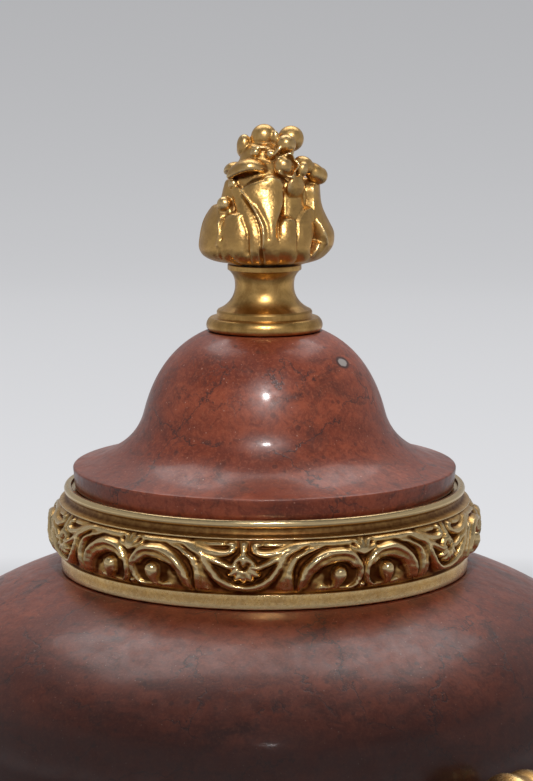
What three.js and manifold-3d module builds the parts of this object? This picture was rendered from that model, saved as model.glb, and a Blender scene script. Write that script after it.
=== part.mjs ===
// A covered mantel urn of red marble with gilt-bronze mounts.
// Millimetres, +Z up, origin on the table under the centre of the plinth.
// Handles lie along X. Every piece is turned, extruded or cast on its own and rests
// on the one below it with a hairline GAP between the two.

import * as THREE from 'three';
import { mergeVertices } from 'three/addons/utils/BufferGeometryUtils.js';
import Module from 'manifold-3d';

const wasm = await Module();
wasm.setup();

// ---------------------------------------------------------------- driving dimensions

const GAP = 0.3;

const BASE = { half: 61, height: 10, step: 3, ledge: 4 };
const PLINTH = { half: 56, height: 20, chamfer: 1.2 };
const FOOT_RING = { radius: 50, height: 7.7 };
const FOOT = { radius: 46, neck: 15.5, height: 27.7 };
const KNOP = { radius: 21, height: 11.5 };
const BODY = { radius: 84, seat: 48.4, foot: 17, height: 147, wall: 10, mouth: 34.4 };
const SHOULDER = { rise: 36, fullness: 2.1 };
const BELLY = { length: 116.9, taper: 0.95 };
const CUP = { leaves: 8, thickness: 2.2, height: 27, notch: 7 };
const HANDLE = { volute: 14, eye: 4.4, width: 10, web: 5, band: 5, scroll: 7, attach: 42 };
const COLLAR = { bore: 40, band: 47.3, bulge: 49.0, arris: 47.6, bead: 46.5, height: 19.4 };
const RELIEF = { low: 3.4, high: 15.4, depth: 1.5, repeats: 6, stretch: 1.68 };
const LID = {
  rim: 44.4, fillet: 4.8, spigot: 39.5, spigotHeight: 5, flank: [27.9, 17.3], height: 35.9,
};
const SOCLE = { torus: 13.4, neck: 6.8, height: 15.1 };

// The bouquet and the collar were fitted by hand, turned this far from the +X handle.
const FRONT_TURN = 58;
const COLLAR_TURN = -37.3;

// Heights of the undersides, from the table up.
const LEVEL = {};
LEVEL.base = 0;
LEVEL.plinth = LEVEL.base + BASE.height + GAP;
LEVEL.footRing = LEVEL.plinth + PLINTH.height + GAP;
LEVEL.foot = LEVEL.footRing + FOOT_RING.height + GAP;
LEVEL.knop = LEVEL.foot + FOOT.height + GAP;
LEVEL.body = LEVEL.knop + KNOP.height + GAP;
LEVEL.collar = LEVEL.body + BODY.height + GAP;
LEVEL.lid = LEVEL.collar + COLLAR.height - 0.6;
LEVEL.socle = LEVEL.lid + LID.height + GAP;
LEVEL.bouquet = LEVEL.socle + SOCLE.height + GAP;

const MARBLE = { color: 0x8f4a37, roughness: 0.28, metalness: 0.0 };
const GILT = { color: 0xb08a48, roughness: 0.36, metalness: 1.0 };

// ---------------------------------------------------------------- helpers

const { sin, cos, abs, min, max, hypot, PI } = Math;
const radians = THREE.MathUtils.degToRad;
const clamp = THREE.MathUtils.clamp;

function piece(name, geometry, finish) {
  const mesh = new THREE.Mesh(geometry, new THREE.MeshStandardMaterial(finish));
  mesh.name = name;
  return mesh;
}

// Turns a profile of [radius, height] points about Z.
function turned(profile, sectors) {
  const points = profile.map(([radius, height]) => new THREE.Vector2(radius, height));
  const geometry = new THREE.LatheGeometry(points, sectors);
  geometry.rotateX(PI / 2);
  return geometry;
}

// Points of a smooth curve between two corners of a profile, pulled towards two more.
function bend(from, pullA, pullB, to, steps) {
  const corners = [from, pullA, pullB, to].map(([r, z]) => new THREE.Vector2(r, z));
  const curve = new THREE.CubicBezierCurve(...corners);
  return curve.getPoints(steps).slice(1).map((point) => [point.x, point.y]);
}

// A ring whose closed profile may change with the angle round the axis. Columns are even
// in the pattern's own angle; bearing() says where on the ring such an angle lies.
function ring(profileAt, columns, bearing = (degrees) => degrees) {
  const rows = profileAt(0).length;
  const positions = [];
  const triangles = [];
  for (let column = 0; column < columns; column += 1) {
    const degrees = (360 * column) / columns;
    const turn = radians(bearing(degrees));
    for (const [radius, height] of profileAt(degrees)) {
      positions.push(radius * cos(turn), radius * sin(turn), height);
    }
    const next = (column + 1) % columns;
    for (let row = 0; row < rows; row += 1) {
      const above = (row + 1) % rows;
      const a = column * rows + row;
      const b = next * rows + row;
      const c = next * rows + above;
      const d = column * rows + above;
      triangles.push(a, b, c, a, c, d);
    }
  }
  const geometry = new THREE.BufferGeometry();
  geometry.setAttribute('position', new THREE.Float32BufferAttribute(positions, 3));
  geometry.setIndex(triangles);
  return geometry;
}

function solid(geometry) {
  const bare = geometry.index ? geometry.toNonIndexed() : geometry.clone();
  bare.deleteAttribute('normal');
  bare.deleteAttribute('uv');
  const merged = mergeVertices(bare, 1e-4);
  return new wasm.Manifold(new wasm.Mesh({
    numProp: 3,
    vertProperties: new Float32Array(merged.attributes.position.array),
    triVerts: new Uint32Array(merged.index.array),
  }));
}

function fuse(geometries) {
  const whole = geometries.map(solid).reduce((sum, next) => sum.add(next));
  const mesh = whole.getMesh();
  const geometry = new THREE.BufferGeometry();
  const corners = new Float32Array(mesh.vertProperties);
  geometry.setAttribute('position', new THREE.BufferAttribute(corners, mesh.numProp));
  geometry.setIndex(Array.from(mesh.triVerts));
  return geometry;
}

// ---------------------------------------------------------------- plinth and foot

function squareSlab(half, height, steps) {
  // steps: [inset, height] pairs from the bottom of the moulded edge to its top
  const corners = [[1, 1], [-1, 1], [-1, -1], [1, -1]];
  const levels = [[0, 0], ...steps, [steps.at(-1)[0], height]];
  const positions = [];
  const triangles = [];
  for (const [inset, z] of levels) {
    for (const [x, y] of corners) positions.push(x * (half - inset), y * (half - inset), z);
  }
  for (let level = 0; level + 1 < levels.length; level += 1) {
    for (let side = 0; side < 4; side += 1) {
      const a = level * 4 + side;
      const b = level * 4 + ((side + 1) % 4);
      triangles.push(a, b, b + 4, a, b + 4, a + 4);
    }
  }
  const top = (levels.length - 1) * 4;
  triangles.push(0, 2, 1, 0, 3, 2, top, top + 1, top + 2, top, top + 2, top + 3);
  const geometry = new THREE.BufferGeometry();
  geometry.setAttribute('position', new THREE.Float32BufferAttribute(positions, 3));
  geometry.setIndex(triangles);
  return geometry;
}

function plinthBase() {
  const { half, height, step, ledge } = BASE;
  const rise = height - ledge - 1;
  const cove = [];
  for (let i = 0; i <= 4; i += 1) {
    const angle = (PI / 2) * (i / 4);
    cove.push([step * (1 - cos(angle)), ledge + rise * sin(angle)]);
  }
  return squareSlab(half, height, [[0, ledge - 0.01], ...cove]);
}

function plinth() {
  const { half, height, chamfer } = PLINTH;
  return squareSlab(half, height, [[0, height - chamfer], [chamfer, height - 0.01]]);
}

function footRing() {
  const { radius, height } = FOOT_RING;
  const half = height / 2;
  const profile = [[0, 0]];
  for (let i = -2; i <= 2; i += 1) {
    const angle = (PI / 2) * (i / 2);
    profile.push([radius - half + half * cos(angle), half + half * sin(angle)]);
  }
  profile.push([0, height]);
  return turned(profile, 28);
}

function foot() {
  const { radius, neck, height } = FOOT;
  const fillet = 4;
  const start = [radius - 2.5, fillet + 1.4];
  const cove = bend(start, [radius * 0.5, fillet + 2.5], [neck, height * 0.5], [neck, height], 6);
  return turned([[0, 0], [radius, 0], [radius, fillet], start, ...cove, [0, height]], 24);
}

function stemKnop() {
  const { radius, height } = KNOP;
  const waist = radius * 0.72;
  const half = height * 0.36;
  const middle = height * 0.48;
  const profile = [[0, 0], [waist, 0]];
  for (let i = -2; i <= 2; i += 1) {
    const angle = (PI / 2) * (i / 2.4);
    profile.push([radius - half + half * cos(angle), middle + half * sin(angle)]);
  }
  profile.push([radius * 0.88, height], [0, height]);
  return turned(profile, 24);
}

// ---------------------------------------------------------------- body

// Radius of the outer wall at a height above the underside of the body.
function bodyRadius(height) {
  const widest = BELLY.length;
  if (height >= widest) {
    const rise = clamp((height - widest) / SHOULDER.rise, 0, 1);
    return BODY.radius * (1 - rise ** SHOULDER.fullness) ** (1 / SHOULDER.fullness);
  }
  const drop = clamp(1 - height / widest, 0, 1);
  return BODY.foot + (BODY.radius - BODY.foot) * cos((PI / 2) * drop) ** BELLY.taper;
}

function bodyWall() {
  const points = [];
  const belly = 8;
  for (let i = 0; i <= belly; i += 1) {
    const height = BELLY.length * sin((PI / 2) * (i / belly) ** 0.9);
    points.push([bodyRadius(height), height]);
  }
  const shoulder = 6;
  const fall = (BODY.height - BELLY.length) / SHOULDER.rise;
  for (let i = 1; i < shoulder; i += 1) {
    const height = BELLY.length + SHOULDER.rise * fall * sin((PI / 2) * (i / shoulder));
    points.push([bodyRadius(height), height]);
  }
  points.push([BODY.seat, BODY.height]);
  return points;
}

// The same line moved into the stone by the thickness of the wall.
function inset(points, wall) {
  return points.map(([radius, height], i) => {
    const before = points[max(i - 1, 0)];
    const after = points[min(i + 1, points.length - 1)];
    const run = hypot(after[0] - before[0], after[1] - before[1]);
    const outwardR = (after[1] - before[1]) / run;
    const outwardZ = -(after[0] - before[0]) / run;
    return [radius - wall * outwardR, height - wall * outwardZ];
  });
}

function vaseBody() {
  const { seat, height, wall, mouth } = BODY;
  const floor = 22;
  const lip = 5.7;
  const outer = bodyWall();
  const inner = inset(outer, wall)
    .filter(([r, z], i) => r > mouth + 3 && z > floor + 4 && i % 2 === 0)
    .reverse();
  const profile = [[0, 0], ...outer];
  profile.push([COLLAR.bore - GAP - 0.2, height], [COLLAR.bore - GAP - 0.2, height + lip]);
  profile.push([mouth, height + lip], [mouth, height - wall], ...inner);
  profile.push([14, floor + 5], [0, floor]);
  return turned(profile, 28);
}

// Leaves of a shallow cup that clasps the bottom of the body.
function leafCup() {
  const { leaves, thickness, height, notch } = CUP;
  const rows = 3;
  const start = 0.5;
  const columns = leaves * 4;
  return ring((degrees) => {
    const phase = abs(cos(radians((degrees * leaves) / 2)));
    const tip = height - notch * (1 - phase ** 0.7);
    const inner = [];
    const outer = [];
    for (let i = 0; i <= rows; i += 1) {
      const z = start + (tip - start) * (i / rows);
      const radius = bodyRadius(z) + GAP + 0.35;
      const swell = thickness * (1 - 0.45 * (i / rows)) * (0.7 + 0.3 * phase);
      inner.push([radius, z]);
      outer.push([radius + swell, z - swell * 0.5]);
    }
    return [...outer, ...inner.reverse()];
  }, columns);
}

// ---------------------------------------------------------------- handles

// Centre of a round boss of this radius that stands against the belly at a height.
function againstBelly(height, radius) {
  const slope = bodyRadius(height + 0.5) - bodyRadius(height - 0.5);
  const run = hypot(1, slope);
  const reach = radius + GAP + 0.15;
  return { r: bodyRadius(height) + reach / run, z: height - (reach * slope) / run };
}

// Middle line of one handle's band, in [distance from the axis, height above the body's foot]:
// a coil that opens into a long C down to the lower scroll.
function handleLine() {
  const { volute, eye, band, scroll, attach } = HANDLE;
  const top = { r: BODY.radius + GAP + volute, z: BELLY.length - 7.2 };
  const foot = againstBelly(attach, scroll);
  const line = [];
  const turns = 14;
  for (let i = 0; i <= turns; i += 1) {
    const share = i / turns;
    const angle = radians(340 - 340 * share);
    const radius = eye + 1.5 + (volute - band / 2 - eye - 1.5) * share ** 0.8;
    line.push([top.r + radius * cos(angle), top.z + radius * sin(angle)]);
  }
  const start = line.at(-1);
  const end = [foot.r + 1, foot.z + scroll - band / 2];
  const drop = start[1] - end[1];
  line.push(...bend(start, [start[0], start[1] - drop * 0.5], [end[0] + 26, end[1] + 4], end, 8));
  return { top, foot, line };
}

function handle(side) {
  const { volute, eye, width, web, band, scroll } = HANDLE;
  const { top, foot, line } = handleLine();
  const left = [];
  const right = [];
  line.forEach((point, i) => {
    const before = line[max(i - 1, 0)];
    const after = line[min(i + 1, line.length - 1)];
    const run = hypot(after[0] - before[0], after[1] - before[1]);
    const across = [-(after[1] - before[1]) / run, (after[0] - before[0]) / run];
    const thick = 0.5 * band * (0.62 + 0.38 * min(1, i / 14));
    left.push(new THREE.Vector2(point[0] + across[0] * thick, point[1] + across[1] * thick));
    right.push(new THREE.Vector2(point[0] - across[0] * thick, point[1] - across[1] * thick));
  });
  const outline = new THREE.Shape([...left, ...right.reverse()]);
  const strap = new THREE.ExtrudeGeometry(outline, { depth: width, bevelEnabled: false });
  strap.translate(0, 0, -width / 2);

  const disc = new THREE.CylinderGeometry(volute - band, volute - band, web, 16);
  disc.rotateX(PI / 2);
  disc.translate(top.r, top.z, 0);
  const button = new THREE.SphereGeometry(eye, 10, 5);
  button.scale(1, 1, (width / 2 + 1) / eye);
  button.translate(top.r, top.z, 0);
  const lowerScroll = new THREE.CylinderGeometry(scroll, scroll, width, 14);
  lowerScroll.rotateX(PI / 2);
  lowerScroll.translate(foot.r, foot.z, 0);

  const whole = fuse([strap, disc, button, lowerScroll]);
  whole.rotateX(PI / 2);
  if (side < 0) whole.rotateZ(PI);
  return whole;
}

// ---------------------------------------------------------------- collar

// Half of one repeat of the frieze, from the palmette at 0 degrees to the small shell at 30.
// Each stroke is an arc of an ellipse in [degrees, height above the collar's underside].
const STROKES = {
  volute: { centre: [22.5, 6.6], reach: [7.2, 5.0], from: 190, to: -10, width: 1.5, height: 1.0 },
  eye: { centre: [22.5, 6.9], reach: [0.4, 0.4], from: 0, to: 360, width: 1.7, height: 1.0 },
  crescent: { centre: [19.4, 5.4], reach: [8.2, 7.4], from: 180, to: 120, width: 1.2, height: 0.75 },
  festoon: { centre: [0, 13.2], reach: [9.6, 8.0], from: -90, to: -14, width: 1.2, height: 0.9 },
  leaf: { centre: [1.0, 16.2], reach: [13.5, 6.0], from: -88, to: -20, width: 1.2, height: 0.8 },
  palmette: { centre: [0, 9.0], reach: [1.4, 1.2], from: -20, to: 200, width: 1.6, height: 1.0 },
  stem: { centre: [0, 12.6], reach: [0.2, 1.6], from: 90, to: -90, width: 1.2, height: 1.0 },
  smallShell: { centre: [30, 11.8], reach: [1.4, 2.6], from: 90, to: 180, width: 1.3, height: 0.8 },
};

function strokeHeight(x, z, stroke) {
  const { centre, reach, from, to, width, height } = stroke;
  const millimetresPerDegree = radians(COLLAR.bulge);
  const steps = 12;
  let nearest = Infinity;
  for (let i = 0; i <= steps; i += 1) {
    const angle = radians(from + ((to - from) * i) / steps);
    const dx = (x - centre[0] - reach[0] * cos(angle)) * millimetresPerDegree;
    const dz = z - centre[1] - reach[1] * sin(angle);
    nearest = min(nearest, hypot(dx, dz));
  }
  return height * clamp(1.35 - nearest / width, 0, 1);
}

function reliefAt(degrees, z) {
  const repeat = 360 / RELIEF.repeats;
  const within = degrees % repeat;
  const x = min(within, repeat - within);
  const strokes = Object.values(STROKES).map((stroke) => strokeHeight(x, z, stroke));
  return RELIEF.depth * max(...strokes);
}

// The ring was bent by hand: its repeats are a little longer in front than at the sides.
function handBent(degrees) {
  return degrees + RELIEF.stretch * sin(radians(2 * degrees));
}

function collar() {
  const { bore, band, bulge, arris, bead, height } = COLLAR;
  const { low, high } = RELIEF;
  const rows = 6;
  const ledge = height - 0.9;
  const foot = low + 0.3;
  return ring((degrees) => {
    const profile = [[bore, 0], [band, 0], [band, low]];
    for (let i = 0; i <= rows; i += 1) {
      const share = i / rows;
      const z = foot + (high - foot) * share;
      const ground = band - 0.2 + (bulge - band) * sin(PI * share);
      const fade = min(1, 5 * share, 5 * (1 - share));
      profile.push([ground + fade * reliefAt(degrees, z), z]);
    }
    profile.push([arris, high + 0.3], [bead - 0.8, height - 1.9], [bead, height - 0.9]);
    profile.push([LID.rim + 0.5, height], [LID.rim + 0.4, ledge], [bore, ledge]);
    return profile;
  }, 84, handBent);
}

// ---------------------------------------------------------------- lid

function lid() {
  const { rim, fillet, spigot, spigotHeight, flank, height } = LID;
  const brim = bend([rim, fillet], [35, 6.7], [29.5, 10.9], flank, 5);
  const dome = bend(flank, [26.2, 23.9], [22.5, 32.1], [SOCLE.torus, height], 6);
  const profile = [[0, -spigotHeight], [spigot, -spigotHeight], [spigot, 0], [rim - 0.5, 0]];
  profile.push([rim, fillet], ...brim, ...dome, [0, height]);
  return turned(profile, 28);
}

// ---------------------------------------------------------------- finial

function finialSocle() {
  const { torus, neck, height } = SOCLE;
  const profile = [[0, 0], [torus - 0.3, 0], [torus, 0.9], [torus - 0.9, 2.8], [torus - 2.4, 3.1]];
  profile.push([torus - 2.4, 4.3]);
  profile.push(...bend([torus - 2.4, 4.3], [7.9, 5.9], [neck - 0.1, 8.2], [neck, 10.4], 4));
  profile.push([neck + 0.5, 12.6], [neck + 1.7, 14.0], [neck + 1.7, height], [0, height]);
  return turned(profile, 20);
}

// A fleshy leaf or petal: an egg of half sizes [across, outward, up], leaning outward.
function lobe({ at, radius, z, size, lean = 0, roll = 0, detail = [6, 4] }) {
  const egg = new THREE.SphereGeometry(1, ...detail);
  egg.rotateX(PI / 2);
  egg.scale(size[0], size[1], size[2]);
  egg.rotateY(radians(roll));
  egg.rotateX(radians(lean));
  egg.translate(0, -radius, z);
  egg.rotateZ(radians(at));
  return egg;
}

// Angles are counted from the front of the bouquet, anticlockwise seen from above.
const CORE = [[0, 0], [8.6, 0], [11.6, 1.6], [12.4, 6], [11.0, 12], [9.4, 18], [7.0, 23], [0, 27.5]];
const CALYX_LEAVES = [
  { at: -82, radius: 9.6, z: 7.7, size: [5.2, 4.9, 7.4], lean: 4 },
  { at: -30, radius: 9.6, z: 6.9, size: [3.6, 4.9, 6.6], lean: 4 },
  { at: -10, radius: 9.2, z: 6.9, size: [2.4, 5.0, 6.6], lean: 4 },
  { at: 6, radius: 9.6, z: 8.7, size: [2.6, 5.6, 8.4], lean: 4 },
  { at: 23, radius: 9.6, z: 6.5, size: [2.6, 5.2, 6.2], lean: 2 },
  { at: 44, radius: 9.8, z: 7.3, size: [3.2, 4.8, 7.0], lean: 2 },
  { at: 86, radius: 9.8, z: 7.9, size: [5.6, 6.2, 7.6], lean: 0 },
  { at: 130, radius: 9.6, z: 7.3, size: [4.8, 5.0, 7.0], lean: 4 },
  { at: 168, radius: 9.6, z: 8.5, size: [3.4, 5.8, 8.2], lean: 4 },
  { at: 201, radius: 9.6, z: 6.7, size: [4.2, 5.0, 6.4], lean: 4 },
  { at: 236, radius: 9.6, z: 7.5, size: [3.8, 5.0, 7.2], lean: 4 },
];
const BERRIES = [
  { at: 0, radius: 0.4, z: 28.75, size: [3.0, 3.0, 3.0] },
  { at: 99, radius: 5.7, z: 28.1, size: [3.2, 3.2, 3.2] },
  { at: 47, radius: 6.6, z: 27.3, size: [2.2, 2.2, 2.2] },
  { at: 267, radius: 4.6, z: 26.7, size: [2.0, 1.8, 2.7] },
  { at: 178, radius: 5.2, z: 27.4, size: [2.9, 2.9, 2.9] },
  { at: 222, radius: 6.2, z: 25.6, size: [2.2, 2.2, 2.2] },
  { at: 142, radius: 7.5, z: 25.4, size: [2.3, 2.3, 2.3] },
  { at: 305, radius: 10.2, z: 13.9, size: [2.1, 2.1, 2.1] },
];
const HEART = { at: 0, radius: 0, z: 23.2, size: [7.2, 6.8, 6.0] };
const FLOWERS = [
  { at: 26, radius: 8.4, z: 22.6, size: [2.7, 2.5, 2.7] },
  { at: 187, radius: 8.6, z: 22.5, size: [2.7, 2.5, 2.7] },
];
const LEAF_TIPS = [
  { at: 328, radius: 6.2, z: 21.4, size: [4.6, 3.9, 2.6], roll: 8 },
  { at: 72, radius: 9.4, z: 21.4, size: [2.4, 5.0, 2.4], lean: 24 },
  { at: 8, radius: 9.6, z: 17.8, size: [3.6, 1.9, 3.4], lean: 12 },
  { at: 42, radius: 10.0, z: 17.8, size: [2.6, 1.6, 2.8], lean: 12 },
  { at: 88, radius: 10.4, z: 15.0, size: [3.8, 2.2, 4.6] },
  { at: 147, radius: 6.8, z: 21.4, size: [4.2, 3.8, 2.4], roll: -8 },
  { at: 229, radius: 8.0, z: 20.8, size: [3.4, 3.2, 2.4] },
];

function bouquet() {
  const clusters = [HEART, CALYX_LEAVES, LEAF_TIPS, FLOWERS, BERRIES].flat();
  return fuse([turned(CORE, 12), ...clusters.map(lobe)]);
}

// ---------------------------------------------------------------- assembly

const urn = new THREE.Group();

function place(name, geometry, finish, level, turn = 0) {
  const mesh = piece(name, geometry, finish);
  mesh.position.z = level;
  mesh.rotation.z = radians(turn);
  urn.add(mesh);
}

place('plinth_base', plinthBase(), GILT, LEVEL.base);
place('plinth', plinth(), MARBLE, LEVEL.plinth);
place('foot_ring', footRing(), GILT, LEVEL.footRing);
place('foot', foot(), MARBLE, LEVEL.foot);
place('stem_knop', stemKnop(), GILT, LEVEL.knop);
place('leaf_cup', leafCup(), GILT, LEVEL.body);
place('vase_body', vaseBody(), MARBLE, LEVEL.body);
place('handle_right', handle(1), GILT, LEVEL.body);
place('handle_left', handle(-1), GILT, LEVEL.body);
place('collar', collar(), GILT, LEVEL.collar, COLLAR_TURN);
place('lid', lid(), MARBLE, LEVEL.lid);
place('finial_socle', finialSocle(), GILT, LEVEL.socle);
place('finial_bouquet', bouquet(), GILT, LEVEL.bouquet, FRONT_TURN);

export default urn;
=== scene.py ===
# %% [markdown]
# # A covered mantel urn in red marble and gilt bronze
# The urn is a stack of separate pieces: a moulded bronze base, a marble plinth, a bronze
# ring, a marble foot, a bronze knop and leaf cup, the hollow marble body with two scroll
# handles, a chased bronze collar, a marble lid, and a finial of leaves and berries.
# This lesson gives each of them its fine surface and its finish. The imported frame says
# where each one stands, so every height below is read from it.

# %% Load the frame
import math

import bpy
import numpy as np
from mathutils import Matrix, Vector


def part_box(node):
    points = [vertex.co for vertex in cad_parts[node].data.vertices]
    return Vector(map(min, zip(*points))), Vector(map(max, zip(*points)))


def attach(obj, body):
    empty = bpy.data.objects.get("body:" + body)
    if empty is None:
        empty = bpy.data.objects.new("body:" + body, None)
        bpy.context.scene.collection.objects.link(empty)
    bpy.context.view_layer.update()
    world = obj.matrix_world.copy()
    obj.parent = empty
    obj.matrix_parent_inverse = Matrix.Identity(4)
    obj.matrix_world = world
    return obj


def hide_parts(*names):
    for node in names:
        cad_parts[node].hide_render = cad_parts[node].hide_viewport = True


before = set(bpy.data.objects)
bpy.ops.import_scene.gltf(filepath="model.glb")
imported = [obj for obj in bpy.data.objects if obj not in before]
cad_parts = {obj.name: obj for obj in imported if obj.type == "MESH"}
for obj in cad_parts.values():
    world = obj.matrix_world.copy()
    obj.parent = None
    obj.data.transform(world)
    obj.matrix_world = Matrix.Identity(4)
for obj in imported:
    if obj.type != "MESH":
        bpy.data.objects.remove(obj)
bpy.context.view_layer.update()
MM = 0.001


def level(node):
    """Height of a node's underside above the table, in millimetres."""
    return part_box(node)[0][2] / MM


# %% [markdown]
# ## Turning
# Marble and ring mounts are turned on a lathe, so the natural way to make them is a
# profile spun about the axis. A profile drawn with a few curves stays easy to read. Sharp
# corners never exist on polished stone, so each corner is rounded a little, and long runs
# are split up so that smooth shading stays local to its own curve.

# %% Profiles
def bend(start, pull_a, pull_b, end, steps=24):
    """Points of a cubic curve after its start."""
    t = np.linspace(0, 1, steps + 1)[1:, None]
    a, b, c, d = (np.array(p, float) for p in (start, pull_a, pull_b, end))
    points = a * (1 - t) ** 3 + 3 * b * t * (1 - t) ** 2 + 3 * c * t**2 * (1 - t) + d * t**3
    return [tuple(p) for p in points]


def soften(profile, radius=0.35, steps=4, closed=False):
    """Rounds every corner that turns by more than about 20 degrees."""
    points = [np.array(p, float) for p in profile]
    count = len(points)
    rounded = []
    for i, here in enumerate(points):
        if not closed and i in (0, count - 1):
            rounded.append(here)
            continue
        before, after = points[i - 1] - here, points[(i + 1) % count] - here
        reach_a, reach_b = np.linalg.norm(before), np.linalg.norm(after)
        turn = math.pi - math.acos(np.clip(before @ after / (reach_a * reach_b), -1, 1))
        if turn < 0.35:
            rounded.append(here)
            continue
        cut = min(radius * math.tan(turn / 2), 0.45 * reach_a, 0.45 * reach_b)
        enter, leave = here + before / reach_a * cut, here + after / reach_b * cut
        for t in np.linspace(0, 1, steps + 1):
            rounded.append((1 - t) ** 2 * enter + 2 * t * (1 - t) * here + t * t * leave)
    return rounded


def spread(profile, spacing, closed=False):
    """Splits long runs so that no two neighbours are further apart than the spacing."""
    points = list(profile) + ([profile[0]] if closed else [])
    filled = [points[0]]
    for a, b in zip(points, points[1:]):
        a, b = np.array(a, float), np.array(b, float)
        parts = max(1, math.ceil(np.linalg.norm(b - a) / spacing))
        filled += [a + (b - a) * k / parts for k in range(1, parts + 1)]
    return filled[:-1] if closed else filled


print("a cove in", len(bend((3, 0), (1, 0), (0, 1), (0, 3))), "points")


# %% Meshes from grids
def new_piece(name, corners_mm, faces, slot):
    """A smooth mesh object, put on the root body when a slot is named."""
    mesh = bpy.data.meshes.new(name)
    mesh.from_pydata((np.asarray(corners_mm) * MM).tolist(), [], faces)
    mesh.validate()
    mesh.shade_smooth()
    obj = bpy.data.objects.new(name, mesh)
    bpy.context.scene.collection.objects.link(obj)
    if slot:
        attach(obj, "root")
    return obj


def sheet_faces(rows, columns, start=0, wrap_rows=False):
    """Quads between rows of points that go round an axis."""
    i, j = np.meshgrid(np.arange(rows - (not wrap_rows)), np.arange(columns), indexing="ij")
    above, beside = (i + 1) % rows, (j + 1) % columns
    quads = [i * columns + j, i * columns + beside, above * columns + beside, above * columns + j]
    return (np.stack(quads, -1).reshape(-1, 4) + start).tolist()


def turned(name, profile, sectors, slot, floor=0.0):
    """Spins a profile that starts and ends on the axis."""
    points = np.array(profile)
    turn = np.arange(sectors) * 2 * math.pi / sectors
    body = points[1:-1]
    ring = np.stack([np.outer(body[:, 0], np.cos(turn)), np.outer(body[:, 0], np.sin(turn)),
                     np.repeat(body[:, 1:], sectors, 1)], -1).reshape(-1, 3)
    ends = np.array([[0, 0, points[0, 1]], [0, 0, points[-1, 1]]])
    corners = np.vstack([ends, ring]) + [0, 0, floor]
    faces = sheet_faces(len(body), sectors, 2)
    last = 2 + (len(body) - 1) * sectors
    for j in range(sectors):
        k = (j + 1) % sectors
        faces += [(0, 2 + k, 2 + j), (1, last + j, last + k)]
    return new_piece(name, corners, faces, slot)


# %% [markdown]
# ## The marble pieces
# The lid is one turned stone: a plain fillet, a hollow brim that sweeps up into the
# dome, and a spigot underneath that keeps it centred in the collar. The body is an egg
# with broad shoulders, hollowed to a wall of ten millimetres. Its profile is a formula,
# so the leaf cup and the handles can ask the same formula where the stone is.

# %% Lid
LID_RIM, LID_FILLET, LID_HEIGHT, SPIGOT = 44.4, 4.8, 35.9, 5.0
FLANK = (27.9, 17.3)
DOME_TOP = 13.4
lid_profile = [(0, -SPIGOT), (39.5, -SPIGOT), (39.5, 0), (LID_RIM - 0.5, 0), (LID_RIM, LID_FILLET)]
lid_profile += bend((LID_RIM, LID_FILLET), (35, 6.7), (29.5, 10.9), FLANK)
lid_profile += bend(FLANK, (26.2, 23.9), (22.5, 32.1), (DOME_TOP, LID_HEIGHT))
lid_profile += [(0, LID_HEIGHT)]
lid_level = level("lid") + SPIGOT
lid = turned("lid_stone", spread(soften(lid_profile, 0.5), 0.9), 224, "marble", lid_level)
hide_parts("lid")
print("lid faces:", len(lid.data.polygons))

# %% Body
BODY_LEVEL = level("vase_body")
BELLY, BELLY_TAPER, BODY_RADIUS, BODY_FOOT = 116.9, 0.95, 84.0, 17.0
SHOULDER_RISE, SHOULDER_FULLNESS = 36.0, 2.1
SEAT_HEIGHT, SEAT_RADIUS, LIP, MOUTH, WALL, INNER_FLOOR = 147.0, 48.4, 5.7, 34.4, 10.0, 22.0


def body_radius(height):
    """Outer radius of the body at a height above its own foot."""
    if height >= BELLY:
        rise = min((height - BELLY) / SHOULDER_RISE, 1)
        return BODY_RADIUS * (1 - rise**SHOULDER_FULLNESS) ** (1 / SHOULDER_FULLNESS)
    swell = math.cos(math.pi / 2 * min(max(1 - height / BELLY, 0), 1)) ** BELLY_TAPER
    return BODY_FOOT + (BODY_RADIUS - BODY_FOOT) * swell


outer = [(body_radius(z), z) for z in BELLY * np.sin(np.linspace(0, math.pi / 2, 60) ** 0.98)]
outer += [(body_radius(z), z) for z in BELLY + (SEAT_HEIGHT - BELLY) * np.sin(
    np.linspace(0, math.pi / 2, 28)[1:-1])]
outer[0] = (BODY_FOOT, 0.0)
outer.append((SEAT_RADIUS, SEAT_HEIGHT))
line = np.array(outer)
along = np.gradient(line, axis=0)
along /= np.linalg.norm(along, axis=1)[:, None]
inner = line - WALL * np.stack([along[:, 1], -along[:, 0]], 1)
inner = [p for p in inner if p[0] > MOUTH + 3 and p[1] > INNER_FLOOR + 4][::-3]
body_profile = [(0, 0), *outer, (39.5, SEAT_HEIGHT), (39.5, SEAT_HEIGHT + LIP),
                (MOUTH, SEAT_HEIGHT + LIP), (MOUTH, SEAT_HEIGHT - WALL), *inner,
                (14, INNER_FLOOR + 5), (0, INNER_FLOOR)]
body = turned("vase_stone", spread(soften(body_profile, 0.6), 2.6), 224, "marble", BODY_LEVEL)
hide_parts("vase_body")
print("body faces:", len(body.data.polygons))

# %% Foot and plinth
foot_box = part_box("foot")
FOOT_RADIUS, FOOT_HEIGHT = foot_box[1][0] / MM, (foot_box[1][2] - foot_box[0][2]) / MM
NECK = 15.5
start = (FOOT_RADIUS - 2.5, 5.4)
foot_profile = [(0, 0), (FOOT_RADIUS, 0), (FOOT_RADIUS, 4), start]
foot_profile += bend(start, (FOOT_RADIUS / 2, 6.5), (NECK, FOOT_HEIGHT / 2), (NECK, FOOT_HEIGHT))
foot_profile += [(0, FOOT_HEIGHT)]
foot = turned("foot_stone", spread(soften(foot_profile, 0.4), 1.4), 160, "marble", level("foot"))
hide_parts("foot")


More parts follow.
